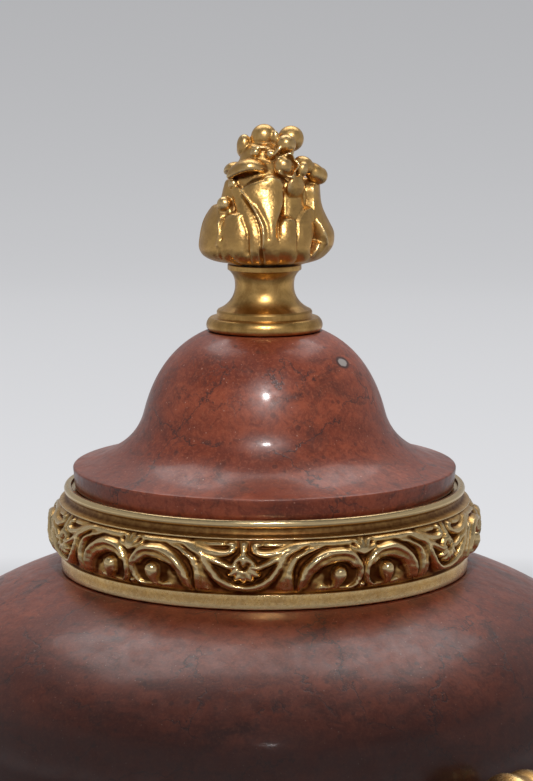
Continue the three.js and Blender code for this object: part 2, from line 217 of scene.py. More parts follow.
def square_slab(name, node, insets, slot):
    """A square slab whose moulded edge is a list of [inset, height] steps."""
    low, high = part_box(node)
    half = high[0] / MM
    sides = spread([(half, half), (-half, half), (-half, -half), (half, -half)], 4, True)
    ring = np.array(sides)
    rings = []
    for inset, z in insets:
        rings.append(np.column_stack([ring * (half - inset) / half, np.full(len(ring), z)]))
    corners = np.vstack(rings) + [0, 0, low[2] / MM]
    count = len(ring)
    faces = sheet_faces(len(insets), count)
    faces.append(list(range(count))[::-1])
    faces.append(list(range(count * (len(insets) - 1), count * len(insets))))
    slab = new_piece(name, corners, faces, slot)
    edge = slab.modifiers.new("rounded edges", "BEVEL")
    edge.width, edge.segments, edge.angle_limit = 0.35 * MM, 3, math.radians(25)
    slab.modifiers.new("flat sides", "WEIGHTED_NORMAL").keep_sharp = True
    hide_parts(node)
    return slab


plinth_height = (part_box("plinth")[1][2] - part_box("plinth")[0][2]) / MM
plinth = square_slab("plinth_stone", "plinth",
                     [(0, 0), (0, plinth_height - 1.2), (1.2, plinth_height)], "marble")
BASE_HEIGHT, BASE_LEDGE, BASE_STEP = 10.0, 4.0, 3.0
cove = [(BASE_STEP * (1 - math.cos(a)), BASE_LEDGE + (BASE_HEIGHT - BASE_LEDGE - 1) * math.sin(a))
        for a in np.linspace(0, math.pi / 2, 9)]
base = square_slab("plinth_base_mould", "plinth_base",
                   [(0, 0), *cove, (BASE_STEP, BASE_HEIGHT)], "gilt_bronze")
print("plinth and base stand to", level("foot_ring"), "mm")

# %% [markdown]
# ## The turned mounts
# Socle, knop and foot ring are plain turned bronze. The foot ring is a tied laurel torus
# on many urns; here it stays plain, as the hidden lower half is kept simple.

# %% Socle, knop and foot ring
TORUS, SOCLE_NECK, SOCLE_HEIGHT = 13.4, 6.8, 15.1
socle_profile = [(0, 0), (TORUS - 0.5, 0)]
socle_profile += bend((TORUS - 0.5, 0), (TORUS + 0.35, 0.6), (TORUS + 0.1, 2.2), (TORUS - 0.9, 2.9), 10)
socle_profile += [(TORUS - 2.4, 3.1), (TORUS - 2.4, 4.3), (TORUS - 2.7, 4.7)]
socle_profile += bend((TORUS - 2.7, 4.7), (7.9, 5.9), (SOCLE_NECK - 0.1, 8.2), (SOCLE_NECK, 10.4))
socle_profile += bend((SOCLE_NECK, 10.4), (6.8, 12.2), (7.4, 12.9), (SOCLE_NECK + 1.3, 13.7), 10)
socle_profile += [(SOCLE_NECK + 1.7, 13.9), (SOCLE_NECK + 1.7, SOCLE_HEIGHT), (0, SOCLE_HEIGHT)]
socle = turned("socle_bronze", spread(soften(socle_profile, 0.18), 0.35), 144, "gilt_bronze",
               level("finial_socle"))
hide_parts("finial_socle")

KNOP_RADIUS, KNOP_HEIGHT = 21.0, 11.5
round_half = KNOP_HEIGHT * 0.36
knop_profile = [(0, 0), (KNOP_RADIUS * 0.72, 0)]
knop_profile += [(KNOP_RADIUS - round_half + round_half * math.cos(a),
                  KNOP_HEIGHT * 0.48 + round_half * math.sin(a)) for a in np.linspace(-1.35, 1.35, 16)]
knop_profile += [(KNOP_RADIUS * 0.88, KNOP_HEIGHT - 0.8), (KNOP_RADIUS * 0.88, KNOP_HEIGHT), (0, KNOP_HEIGHT)]
knop = turned("knop_bronze", spread(soften(knop_profile, 0.25), 0.8), 144, "gilt_bronze",
              level("stem_knop"))
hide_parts("stem_knop")

RING_RADIUS, RING_HEIGHT = 50.0, 7.7
half_ring = RING_HEIGHT / 2
ring_profile = [(0, 0)]
ring_profile += [(RING_RADIUS - half_ring + half_ring * math.cos(a), half_ring + half_ring * math.sin(a))
                 for a in np.linspace(-math.pi / 2, math.pi / 2, 20)]
ring_profile += [(0, RING_HEIGHT)]
foot_ring = turned("foot_ring_bronze", spread(ring_profile, 3.0), 192, "gilt_bronze",
                   level("foot_ring"))
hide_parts("foot_ring")
print("turned mounts:", socle.name, knop.name, foot_ring.name)

# %% [markdown]
# ## The chased collar
# The frieze is cast and chased: a palmette on a ribbon festoon, then a volute with a
# round eye, mirrored about a small shell, six times round. It could be sculpted, but a
# repeating low relief is easier to keep true as a height map. Each stroke of the pattern
# is a curved ridge with its own width, and the highest ridge wins at each point.

# %% Frieze strokes
FRIEZE_LOW, FRIEZE_HIGH, REPEATS = 3.4, 15.4, 6
BAND, BORE, ARRIS, BEAD, COLLAR_HEIGHT = 47.3, 40.0, 47.6, 46.5, 19.4
HALF_REPEAT = math.pi * 50.0 / REPEATS
FRIEZE_DEPTH = 2.05


def smooth_line(points, samples=40):
    """Catmull-Rom through rows of [x, z, half width]."""
    rows = np.array(points, float)
    rows = np.vstack([2 * rows[0] - rows[1], rows, 2 * rows[-1] - rows[-2]])
    u = np.linspace(0, len(rows) - 3, samples)
    k = np.minimum(u.astype(int), len(rows) - 4)
    t = (u - k)[:, None]
    a, b, c, d = rows[k], rows[k + 1], rows[k + 2], rows[k + 3]
    return 0.5 * (2 * b + (c - a) * t + (2 * a - 5 * b + 4 * c - d) * t**2
                  + (3 * b - a - 3 * c + d) * t**3)


def ridge(X, Z, points, height, roundness=2.0):
    """Height map of a rounded ridge along a smooth line of [x, z, half width]."""
    rows = smooth_line(points, 8 * len(points)) if len(points) > 1 else np.array(points * 2, float)
    lift = np.full(X.shape, 9.0)
    for (x, z, width), (x2, z2, width2) in zip(rows, rows[1:]):
        run = max((x2 - x) ** 2 + (z2 - z) ** 2, 1e-9)
        t = np.clip(((X - x) * (x2 - x) + (Z - z) * (z2 - z)) / run, 0, 1)
        gap = np.hypot(X - x - t * (x2 - x), Z - z - t * (z2 - z))
        lift = np.minimum(lift, gap / np.maximum(width + t * (width2 - width), 0.05))
    return height * np.clip(1 - lift**roundness, 0, 1) ** 0.55


def eased(field, passes):
    """Softens a height map that closes on itself along its second axis."""
    for _ in range(passes):
        field = 0.5 * field + 0.25 * (np.roll(field, 1, 1) + np.roll(field, -1, 1))
        padded = np.vstack([field[:1], field, field[-1:]])
        field = 0.5 * field + 0.25 * (padded[:-2] + padded[2:])
    return field


def frieze(X, Z):
    """Relief over half a repeat: x runs from the palmette (0) to the small shell."""
    shell = HALF_REPEAT
    ridges = [
        # palmette: stem, bud and the leaves that cross under it
        ridge(X, Z, [(0, 14.9, 0.35), (0, 13.6, 0.5), (0, 12.4, 0.6)], 0.75),
        ridge(X, Z, [(0, 12.2, 0.35), (0, 11.2, 0.9), (0, 10.1, 0.5)], 1.0),
        ridge(X, Z, [(0.5, 12.2, 0.3), (1.4, 11.2, 0.7), (2.2, 10.4, 0.35)], 0.8),
        ridge(X, Z, [(13.6, 14.8, 0.5), (12.2, 14.3, 0.8), (7.2, 11.6, 0.9), (3.9, 10.2, 0.75),
                     (2.2, 9.7, 0.4)], 0.9),
        ridge(X, Z, [(13.0, 15.2, 0.3), (8.1, 13.2, 0.8), (5.6, 12.5, 0.9), (3.4, 12.7, 0.75),
                     (2.1, 13.7, 0.7), (2.5, 14.6, 0.45), (3.3, 14.4, 0.4)], 0.8),
        ridge(X, Z, [(4.6, 14.5, 0.55), (7.5, 14.5, 0.6), (10.5, 15.1, 0.35)], 0.5),
        # festoon, its inner line, and the mass that joins it to the volute
        ridge(X, Z, [(9.4, 12.9, 0.4), (8.3, 11.5, 0.8), (6.8, 9.0, 0.9), (5.0, 6.7, 1.0),
                     (2.8, 5.3, 1.05), (0.5, 5.0, 0.85), (-1, 5.1, 0.85)], 1.0),
        ridge(X, Z, [(9.9, 12.1, 0.3), (8.6, 9.6, 0.45), (8.3, 7.2, 0.5), (8.3, 4.6, 0.4)], 0.75),
        ridge(X, Z, [(8.9, 9.4, 1.7), (8.7, 6.4, 2.3), (8.9, 4.9, 2.0)], 0.6),
        ridge(X, Z, [(13.2, 12.9, 0.4), (11.0, 11.5, 0.85), (9.8, 9.0, 1.0), (9.7, 6.5, 0.85),
                     (10.0, 4.4, 0.45)], 0.9),
        # volute: a sharp outer band, the slope inside it, the lip that curls under, the eye
        ridge(X, Z, [(11.7, 4.2, 0.4), (12.2, 6.6, 0.8), (13.3, 9.3, 1.0), (15.7, 11.6, 1.05),
                     (19.2, 12.8, 1.0), (22.8, 12.3, 0.9), (25.0, 10.1, 0.75), (25.4, 7.5, 0.55),
                     (24.6, 5.4, 0.45), (23.2, 4.3, 0.35)], 1.1),
        ridge(X, Z, [(12.8, 5.4, 0.9), (13.6, 8.2, 1.4), (15.6, 10.4, 1.6), (19.2, 11.6, 1.5),
                     (22.4, 11.2, 1.2), (24.2, 9.4, 0.8)], 0.75),
        ridge(X, Z, [(20.4, 8.0, 1.75), (20.3, 7.2, 1.6), (20.0, 6.0, 1.0), (19.6, 4.6, 0.45)], 1.15, 2.6),
        ridge(X, Z, [(17.0, 4.6, 0.9), (20.0, 4.0, 1.0), (23.5, 4.1, 0.8)], 0.4),
        # the leaf mass that fills the corner over the volute
        ridge(X, Z, [(13.0, 15.0, 1.2), (18.0, 14.9, 1.2), (23.0, 14.8, 1.2)], 0.7),
        ridge(X, Z, [(shell, 4.6, 0.85)], 0.9),
    ]
    for angle in (0, 27, 54, 82):
        a = math.radians(angle)
        fan = [(math.sin(a) * r, 10.2 - math.cos(a) * r, w) for r, w in ((1.3, 0.4), (2.5, 0.75), (3.5, 0.65))]
        ridges.append(ridge(X, Z, fan, 0.9))
    for angle in (0, 28, 56):
        a = math.radians(angle)
        fan = [(shell - math.sin(a) * r, 11.6 + math.cos(a) * r, w)
               for r, w in ((0.3, 0.25), (2.0, 0.55), (3.4, 0.45))]
        ridges.append(ridge(X, Z, fan, 0.8))
    for t in np.linspace(0, 1, 12):
        ridges.append(ridge(X, Z, [(12.8 + 4.4 * t, 12.6 + 1.5 * t, 0.24),
                                   (13.2 + 4.4 * t, 13.7 + 1.1 * t, 0.2)], 0.6))
    relief = np.max(ridges, axis=0)
    bowl = np.clip(1 - (np.hypot(X - 19.2, Z - 7.2) / 4.6) ** 2, 0, 1)
    pit = np.exp(-(np.hypot(X - 15.6, Z - 7.7) / 0.5) ** 2)
    return relief - 0.25 * bowl * np.clip(1 - relief / 0.5, 0, 1) - 0.4 * pit


# %% Collar
COLUMNS, FRIEZE_ROWS = 816, 56
share = np.linspace(0, 1, FRIEZE_ROWS)
frieze_z = FRIEZE_LOW + 0.1 + (FRIEZE_HIGH - FRIEZE_LOW - 0.1) * share
pattern = np.arange(COLUMNS) * 360 / COLUMNS
ARC, HEIGHT = np.meshgrid(np.radians(pattern) * 50.0, frieze_z, indexing="ij")
# a chaser's hand never repeats itself exactly
by_hand = ARC + 0.14 * np.sin(0.43 * ARC + 0.3 * HEIGHT) + 0.05 * np.sin(1.32 * ARC - 0.6 * HEIGHT)
HEIGHT = HEIGHT + 0.1 * np.sin(0.31 * ARC + 2) + 0.04 * np.sin(1.1 * ARC + 0.4 * HEIGHT)
along_repeat = HALF_REPEAT - np.abs(by_hand % (2 * HALF_REPEAT) - HALF_REPEAT)
relief = frieze(along_repeat, HEIGHT)
relief = relief + 0.035 * np.sin(1.9 * ARC + 1.3 * HEIGHT) * np.sin(2.7 * HEIGHT - 0.8 * ARC)
relief = eased(relief.T, 1).T
swell = np.interp(frieze_z, [3.5, 4.2, 5.0, 7.0, 13.0, 14.6, 15.4], [0, 0.55, 0.8, 1, 1, 0.7, 0])
ground = np.interp(frieze_z, [3.5, 4.2, 5.5, 7.5, 10.0, 13.0, 15.4], [46.9, 47.3, 47.8, 48.2, 48.3, 47.9, 47.1])
band_rows = ground + FRIEZE_DEPTH * relief * swell
print("frieze from", round(float(band_rows.min()), 2), "to", round(float(band_rows.max()), 2), "mm")

before = spread(soften([(BORE, 3), (BORE, 0), (BAND, 0), (BAND, FRIEZE_LOW - 0.15),
                        (BAND - 0.45, FRIEZE_LOW)], 0.2), 1.4)
LEDGE = COLLAR_HEIGHT - 0.9
after = [(ARRIS - 0.5, FRIEZE_HIGH), (ARRIS, FRIEZE_HIGH + 0.1), (ARRIS, FRIEZE_HIGH + 0.35)]
after += bend(after[-1], (BEAD - 0.6, FRIEZE_HIGH + 0.5), (BEAD - 0.9, FRIEZE_HIGH + 1.2),
              (BEAD - 0.8, COLLAR_HEIGHT - 1.9), 6)
after += [(BEAD - 0.65, COLLAR_HEIGHT - 1.85)]
after += [(BEAD - 0.85 + 0.85 * math.cos(a), COLLAR_HEIGHT - 0.95 + 0.95 * math.sin(a))
          for a in np.linspace(-1.2, 1.5, 9)]
after += [(LID_RIM + 0.5, COLLAR_HEIGHT - 0.1), (LID_RIM + 0.4, LEDGE), (BORE, LEDGE)]
after = spread(soften(after, 0.1, 2), 1.6)
COLLAR_TURN, HAND_STRETCH = -37.3, 1.68
bearing = np.radians(pattern + HAND_STRETCH * np.sin(np.radians(2 * pattern)) + COLLAR_TURN)
rows = [(np.full(COLUMNS, r), np.full(COLUMNS, z)) for r, z in before]
rows += [(band_rows[:, i], np.full(COLUMNS, z)) for i, z in enumerate(frieze_z)]
rows += [(np.full(COLUMNS, r), np.full(COLUMNS, z)) for r, z in after]
corners = np.concatenate([np.column_stack([r * np.cos(bearing), r * np.sin(bearing), z])
                          for r, z in rows]) + [0, 0, level("collar")]
collar = new_piece("collar_bronze", corners, sheet_faces(len(rows), COLUMNS, 0, True), "gilt_bronze")
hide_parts("collar")
print("collar faces:", len(collar.data.polygons))


# %% [markdown]
# ## The finial bouquet
# One casting: a calyx of fleshy leaves, and above it leaf tips, a flower head and berries.
# The calyx is a skin round the axis, so it is easiest as a height map: each leaf is an
# outline with its own lift, swell, crease and raised border, and the outermost leaf wins.
# Tips and berries hang over, which a height map cannot do, so they are added as closed
# forms. Remesh melts it all into one skin, as wax is joined before casting.

# %% Calyx
FRONT_TURN = 58.0
BOUQUET_LEVEL = level("finial_bouquet")
CALYX = [(0.0, 9.2), (0.5, 11.0), (1.2, 12.6), (2.4, 13.7), (4.0, 14.3), (6.0, 14.2), (8.0, 13.8),
         (10.6, 12.8), (12.0, 12.2), (14.8, 10.9), (17.0, 10.2), (20.0, 9.2), (23.0, 7.2), (26.0, 4.4)]
CALYX_TOP = 25.5

# Each leaf is a list of [height, left edge, right edge, lift]; the edges are in degrees.
FRONT_LEAVES = [
    [(1.0, -30, -13, 0), (2.9, -36, -14, 0), (4.9, -41, -14, 0), (6.7, -44, -15, 0.1), (8.4, -46, -16, 0.1),
     (10.2, -47, -18, 0.1), (11.5, -45, -22, 0.1), (12.6, -37, -29, 0)],
    [(1.0, -14, -3, 0), (4.2, -15, -3, 0), (6.4, -16, -3, 0), (8.6, -18, -4, -0.1), (10.7, -25, -7, -0.3),
     (12.8, -36, -13, -0.5), (14.9, -46, -22, -0.7), (17.7, -57, -35, -0.7), (18.6, -50, -44, -0.7)],
    [(1.0, -1, 16, 0.1), (4.2, -3, 14, 0.4), (6.5, -3, 13, 0.8), (8.7, -4, 13, 1.0), (10.4, -6, 14, 1.1),
     (12.4, -10, 18, 1.2), (14.5, -17, 22, 1.3), (16.2, -25, 23, 1.3), (17.6, -30, 24, 1.2),
     (19.1, -18, 24, 1.3), (20.3, 4, 12, 1.3)],
    [(1.0, 15, 34, 0), (4.1, 12, 31, 0.4), (6.4, 12, 31, 0.6), (8.6, 13, 32, 0.6), (10.3, 15, 33, 0.5),
     (11.7, 22, 29, 0.4)],
    [(1.0, 33, 54, 0), (3.9, 30, 48, 0.1), (6.1, 30, 51, 0.2), (8.3, 32, 56, 0.2), (10.5, 35, 60, 0.2),
     (12.2, 43, 63, 0.2), (13.6, 56, 61, 0.2)],
    [(9.5, 19, 42, -0.8), (12.3, 21, 55, -0.6), (15.0, 24, 64, -0.5), (18.0, 26, 66, -0.4), (20.0, 34, 56, -0.4)],
    [(0.6, 56, 100, 0), (2.4, 60, 108, 0.5), (4.7, 62, 112, 1.3), (7.0, 60, 112, 1.6), (9.2, 60, 110, 1.3),
     (12.2, 61, 108, 1.1), (15.0, 65, 106, 1.7), (17.6, 67, 106, 2.3), (19.5, 78, 96, 3.0)],
    [(0.4, 52, 80, -0.2), (2.4, 50, 80, 0.1), (4.2, 54, 80, 0.3), (5.8, 58, 66, 0.3)],
    [(0.8, -110, -48, 0), (2.4, -114, -45, 0.6), (5.0, -115, -43, 0.4), (7.6, -114, -44, 0.4), (9.7, -110, -47, 0.6),
     (11.4, -104, -51, 0.5), (12.9, -96, -58, 0.2), (14.0, -84, -70, 0)],
    [(0.6, -50, -34, -0.2), (3.9, -46, -34, -0.2), (5.4, -46, -38, -0.2), (6.5, -45, -42, -0.3)],
    [(11.5, -80, -42, -0.7), (15.0, -84, -46, -0.7), (18.0, -82, -48, -0.5), (19.8, -70, -56, -0.3)],
]
BACK_LEAVES = [
    [(0.8, 112, 148, 0), (4.0, 108, 152, 0.2), (8.0, 108, 151, 0.2), (11.0, 114, 146, 0.2), (13.2, 127, 132, 0)],
    [(0.8, 154, 180, 0.2), (5.0, 156, 178, 0.8), (9.0, 156, 180, 1.0), (13.0, 153, 186, 1.2), (17.0, 146, 192, 1.3),
     (19.0, 158, 186, 1.2), (20.2, 170, 176, 1.2)],
    [(0.8, 180, 218, 0), (4.0, 178, 221, 0.3), (8.0, 180, 222, 0.3), (10.5, 186, 217, 0.3), (12.2, 200, 206, 0.2)],
    [(0.8, 220, 246, 0), (5.0, 219, 248, 0.3), (9.0, 219, 250, 0.3), (12.0, 224, 247, 0.3), (14.3, 237, 241, 0.2)],
    [(9.0, 108, 156, -0.7), (14.0, 110, 158, -0.5), (18.0, 114, 156, -0.2), (20.0, 128, 144, 0)],
    [(9.0, 186, 256, -0.7), (14.0, 190, 254, -0.6), (18.0, 198, 246, -0.3), (20.0, 212, 232, -0.1)],
]
# Raised lines and furrows along the leaves: [height, bearing] points, lift and width in mm.
CHASED = [
    ([(4.8, -2), (7.2, -1), (9.8, -2), (12.3, -8), (14.6, -17), (17.3, -29)], 0.65, 0.5),
    ([(7.0, 3), (9.8, 2), (12.0, -2), (14.4, -8)], -0.35, 0.45),
    ([(7.4, 12), (9.9, 13), (13.2, 19), (15.3, 23), (17.5, 25)], -0.65, 0.45),
    ([(5.0, 65), (7.1, 62), (9.2, 61), (10.5, 59), (12.1, 59), (14.6, 61), (17.3, 64)], 0.6, 0.45),
    ([(5.0, -47), (7.8, -46), (9.5, -49), (11.2, -50), (13.3, -62)], 0.5, 0.45),
    ([(2.2, 52), (4.1, 55), (5.9, 60)], 0.4, 0.35),
    ([(3.5, -16), (5.8, -16), (8.2, -16), (11.2, -23)], -0.55, 0.45),
    ([(3.5, 130), (7.0, 129), (10.5, 130)], -0.55, 0.5),
    ([(4.8, 158), (9.0, 158), (13.0, 155), (16.5, 149)], 0.55, 0.5),
    ([(3.5, 199), (6.5, 201), (9.5, 202)], -0.5, 0.5),
    ([(4.0, 233), (8.0, 234), (12.0, 238)], -0.5, 0.5),
    ([(4.0, 88), (9.0, 86), (14.0, 86)], -0.5, 0.6),
    ([(3.0, -84), (7.0, -82), (11.0, -82)], -0.4, 0.6),
]


def flowing(x, points, column):
    """Smooth value at x through the rows of a table sorted by their first column."""
    rows = smooth_line([(p[0], p[column], 0) for p in points], 12 * len(points))
    return np.interp(x, rows[:, 0], rows[:, 1])


def calyx_leaf(PHI, Z, rows, swell=0.9, border=0.25):
    """Radius of one leaf of the calyx over the grid."""
    rows = [tuple(map(float, row)) for row in rows]
    left, right, lift = (flowing(Z[:, 0], rows, k)[:, None] for k in (1, 2, 3))
    base = flowing(Z[:, 0], CALYX, 1)[:, None] + lift
    half = np.maximum(np.radians((right - left) / 2) * base, 0.3)
    away = np.abs(np.radians((PHI - (left + right) / 2 + 180) % 360 - 180) * base)
    u = away / half
    surface = base + swell * (0.4 - np.minimum(u, 1.1) ** 2.4)
    surface = surface + border * np.exp(-(((half - away - 0.45) / 0.3) ** 2))
    side = np.clip((half - away + 0.25) / 0.5, 0, 1)
    top = np.clip((rows[-1][0] - Z) / 0.7 + 0.15, 0, 1)
    foot = np.clip((Z - rows[0][0] + 1.2) / 0.9, 0, 1)
    floor = base - 4.0
    return floor + (surface - floor) * (side * top) ** 0.5 * foot


def chased(PHI, Z, points, lift, width):
    """A raised line or furrow along a path on the calyx."""
    path = smooth_line([(z, at, 0) for z, at in points], 60)
    nearest = np.full(Z.shape, 99.0)
    for z, at, _ in path:
        across = np.radians((PHI - at + 180) % 360 - 180) * 13
        nearest = np.minimum(nearest, np.hypot(across, Z - z))
    return lift * np.exp(-((nearest / width) ** 2))


def calyx():
    """The skin of leaves round the axis, as one closed form."""
    columns, rows = 720, 170
    phi = np.arange(columns) * 360 / columns
    Z, PHI = np.meshgrid(np.linspace(0.0, CALYX_TOP, rows), phi, indexing="ij")
    radius = flowing(Z[:, 0], CALYX, 1)[:, None] - 2.0 + 0 * PHI
    for leaf in FRONT_LEAVES + BACK_LEAVES:
        radius = np.maximum(radius, calyx_leaf(PHI, Z, leaf))
    radius = eased(radius, 2)
    for points, lift, width in CHASED:
        radius = radius + chased(PHI, Z, points, lift, width)
    radius = eased(radius, 1)
    turn = np.radians(PHI)
    corners = np.stack([radius * np.sin(turn), -radius * np.cos(turn), Z], -1).reshape(-1, 3)
    corners = np.vstack([[[0, 0, 0], [0, 0, CALYX_TOP]], corners])
    faces = sheet_faces(rows, columns, 2)
    last = 2 + (rows - 1) * columns
    for j in range(columns):
        k = (j + 1) % columns
        faces += [(0, 2 + k, 2 + j), (1, last + j, last + k)]
    return corners, faces


calyx_corners, calyx_faces = calyx()
print("calyx points:", len(calyx_corners))


# %% Berries, tips and the flower
def egg(x, forward, z, size, lean=0, roll=0, turn=0, profile=None, shape=None, columns=36):
    """A turned form, an egg by default, of half sizes [across, outward, up]."""
    if profile is None:
        profile = [(math.sin(a), -math.cos(a)) for a in np.linspace(0, math.pi, 24)]
    points = np.array(profile)
    phi = np.arange(columns) * 2 * math.pi / columns
    body = points[1:-1]
    ring = np.stack([np.outer(body[:, 0], np.cos(phi)), np.outer(body[:, 0], np.sin(phi)),
                     np.repeat(body[:, 1:], columns, 1)], -1).reshape(-1, 3)
    corners = np.vstack([[[0, 0, points[0, 1]], [0, 0, points[-1, 1]]], ring])
    if shape:
        corners = shape(corners)
    corners = corners * (size if np.ndim(size) else (size,) * 3)
    faces = sheet_faces(len(body), columns, 2)
    last = 2 + (len(body) - 1) * columns
    for j in range(columns):
        k = (j + 1) % columns
        faces += [(0, 2 + k, 2 + j), (1, last + j, last + k)]
    tilt = (Matrix.Rotation(math.radians(turn), 3, "Z") @ Matrix.Rotation(math.radians(lean), 3, "X")
            @ Matrix.Rotation(math.radians(roll), 3, "Y"))
    return corners @ np.array(tilt).T + [x, -forward, z], faces


# A leaf tip that curls over: a cap with a thick lip and a hollow underside.
CAP = ([(0.75 * math.sin(a), 0.1 + 0.5 * math.cos(a)) for a in np.linspace(0, math.pi / 2, 12)]
       + [(0.80, -0.04), (0.88, -0.08), (0.97, -0.02)]
       + [(math.sin(a), math.cos(a)) for a in np.linspace(math.pi / 2 - 0.1, 0, 16)])


def curled(points):
    """Draws a cap out to a point on its left and arches its lip."""
    bent = points.copy()
    pull = np.clip(-points[:, 0], 0, 1)
    bent[:, 1] *= 1 - 0.5 * pull**2
    bent[:, 0] -= 0.15 * pull**3
    bent[:, 2] += (0.2 * np.cos(2 * np.arctan2(points[:, 1], points[:, 0])) - 0.1) * np.hypot(
        points[:, 0], points[:, 1]) ** 2 * -1
    return bent


def flower_cup(x, forward, z, radius, facing, petals=5):
    """A cup of petals round a flower's middle, open towards a bearing and a tilt."""
    turns = 80
    angle = np.arange(turns) * 2 * math.pi / turns
    wave = np.cos(petals * angle)
    outer = [(radius * (0.3 + 0.7 * math.sin(t * 1.4)), radius * (0.95 * t**1.6), t)
             for t in np.linspace(0, 1, 9)]
    inner = [(r - 0.5, h + 0.12 * radius * (1 - t), t) for r, h, t in outer[:0:-1]]
    sheets = []
    for reach, lift, t in outer + inner:
        swing = 1 + 0.09 * wave * t**2
        sheets.append(np.column_stack([reach * swing * np.cos(angle), reach * swing * np.sin(angle),
                                       lift * (1 + 0.12 * wave * t)]))
    corners = np.vstack(sheets)
    count = len(sheets)
    faces = sheet_faces(count, turns)
    faces.append(list(range(turns))[::-1])
    faces.append(list(range(turns * (count - 1), turns * count)))
    bearing, tilt = facing
    spin = (Matrix.Rotation(math.radians(bearing), 3, "Z") @ Matrix.Rotation(math.radians(90 - tilt), 3, "X"))
    return corners @ np.array(spin).T + [x, -forward, z], faces


# Berries: [x, forward, height, radius].
BERRIES = [(-0.1, 0.4, 28.75, 3.0), (6.0, -1.0, 28.3, 3.0), (4.9, 4.5, 27.3, 2.25), (-2.0, 4.4, 25.4, 1.3),
           (1.4, 5.3, 25.1, 1.2), (4.2, 8.6, 22.7, 2.15), (-9.0, 6.3, 13.9, 1.8), (-7.0, 5.6, 18.4, 1.25),
           (0.2, -5.2, 27.4, 2.9), (-4.2, -4.6, 25.6, 2.2), (4.6, -6.0, 25.4, 2.3), (-1.2, -9.2, 22.6, 2.0),
           (9.3, -7.4, 13.6, 1.7)]


def bouquet_parts():
    parts = [(calyx_corners, calyx_faces), egg(0.3, 0, 23.4, (6.0, 5.4, 5.0))]
    parts += [egg(x, forward, z, radius) for x, forward, z, radius in BERRIES]
    parts += [
        egg(-4.6, -0.2, 26.7, (1.75, 2.0, 2.7)),
        egg(-3.3, 5.3, 20.5, (4.7, 4.2, 3.7), lean=-6, roll=-5, profile=CAP, shape=curled, columns=72),
        egg(8.9, 4.6, 22.6, (2.5, 2.2, 2.0), roll=34), egg(11.3, 3.2, 20.9, (2.9, 2.2, 2.0), roll=36),
        egg(8.5, 6.4, 21.7, (1.4, 1.5, 1.9), roll=20), egg(12.5, 2.4, 20.1, (1.9, 2.0, 2.0)),
        egg(7.0, 7.7, 17.8, (2.6, 1.2, 2.8), lean=12, turn=42), egg(1.6, 9.4, 18.6, (2.6, 1.5, 2.2), lean=16, turn=8),
        flower_cup(4.2, 6.9, 22.5, 2.8, (25, 8)),
        flower_cup(-1.2, -7.6, 22.4, 2.8, (187, 8)),
        egg(3.6, -5.6, 20.6, (4.2, 3.8, 3.0), lean=6, turn=200, profile=CAP, shape=curled, columns=72),
        egg(-6.2, -5.4, 20.0, (3.4, 3.2, 2.8), lean=6, turn=140, profile=CAP, shape=curled, columns=72),
        egg(7.4, -7.6, 17.6, (2.5, 1.6, 2.6), lean=-14, turn=136), egg(-6.5, -2.6, 20.0, (1.6, 2.6, 2.4)),
        egg(3.0, 6.0, 26.0, (0.5, 0.9, 1.7), roll=38), egg(-0.6, 4.0, 26.6, (2.4, 1.2, 0.5), roll=4),
        egg(2.6, 2.4, 28.6, (0.9, 0.9, 1.8), roll=-8),
    ]
    return parts


print("berries:", len(BERRIES))


# %% Melt into one casting
def melted(name, parts, voxel_mm, smooth_steps, slot, shift=(0, 0, 0), turn=0.0):
    """Joins closed parts and gives them one remeshed, smoothed skin."""
    corners, faces, start = [], [], 0
    for part_corners, part_faces in parts:
        corners.append(part_corners)
        faces += [tuple(i + start for i in face) for face in part_faces]
        start += len(part_corners)
    spun = np.vstack(corners) @ np.array(Matrix.Rotation(math.radians(turn), 3, "Z")).T
    obj = new_piece(name, spun + shift, faces, slot)
    remesh = obj.modifiers.new("one skin", "REMESH")
    remesh.mode, remesh.voxel_size, remesh.use_smooth_shade = "VOXEL", voxel_mm * MM, True
    ease = obj.modifiers.new("softened", "SMOOTH")
    ease.factor, ease.iterations = 0.5, smooth_steps
    apply_modifiers(obj)
    return obj


def apply_modifiers(obj):
    """Swaps the object's mesh for the one that its modifiers make."""
    depsgraph = bpy.context.evaluated_depsgraph_get()
    finished = bpy.data.meshes.new_from_object(obj.evaluated_get(depsgraph))
    obj.modifiers.clear()
    obj.data = finished
    obj.data.shade_smooth()


bouquet = melted("bouquet_bronze", bouquet_parts(), 0.241, 2, "gilt_bronze",
                 (0, 0, BOUQUET_LEVEL), FRONT_TURN)
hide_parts("finial_bouquet")
print("bouquet faces:", len(bouquet.data.polygons))

# %% [markdown]
# ## The leaf cup and the handles
# The handles are cast: a coil round an eye, opening into a long C that ends in a small
# scroll against the belly. Only the edge of one coil is ever seen close up, so the
# handles keep a plain rounded strap with a raised spine. A strap is easiest as a section
# carried along its middle line. The cup is eight plain leaves turned against the belly,
# each with a raised midrib.

# %% Handle line
VOLUTE, EYE, STRAP_WIDTH, STRAP_THICK, LOWER_SCROLL, ATTACH = 14.0, 4.4, 10.0, 5.0, 7.0, 42.0
GAP = 0.3
slope = body_radius(ATTACH + 0.5) - body_radius(ATTACH - 0.5)
reach = (LOWER_SCROLL + GAP + 0.15) / math.hypot(1, slope)
coil_centre = (BODY_RADIUS + GAP + VOLUTE, BELLY - 7.2)
scroll_centre = (body_radius(ATTACH) + reach, ATTACH - reach * slope)


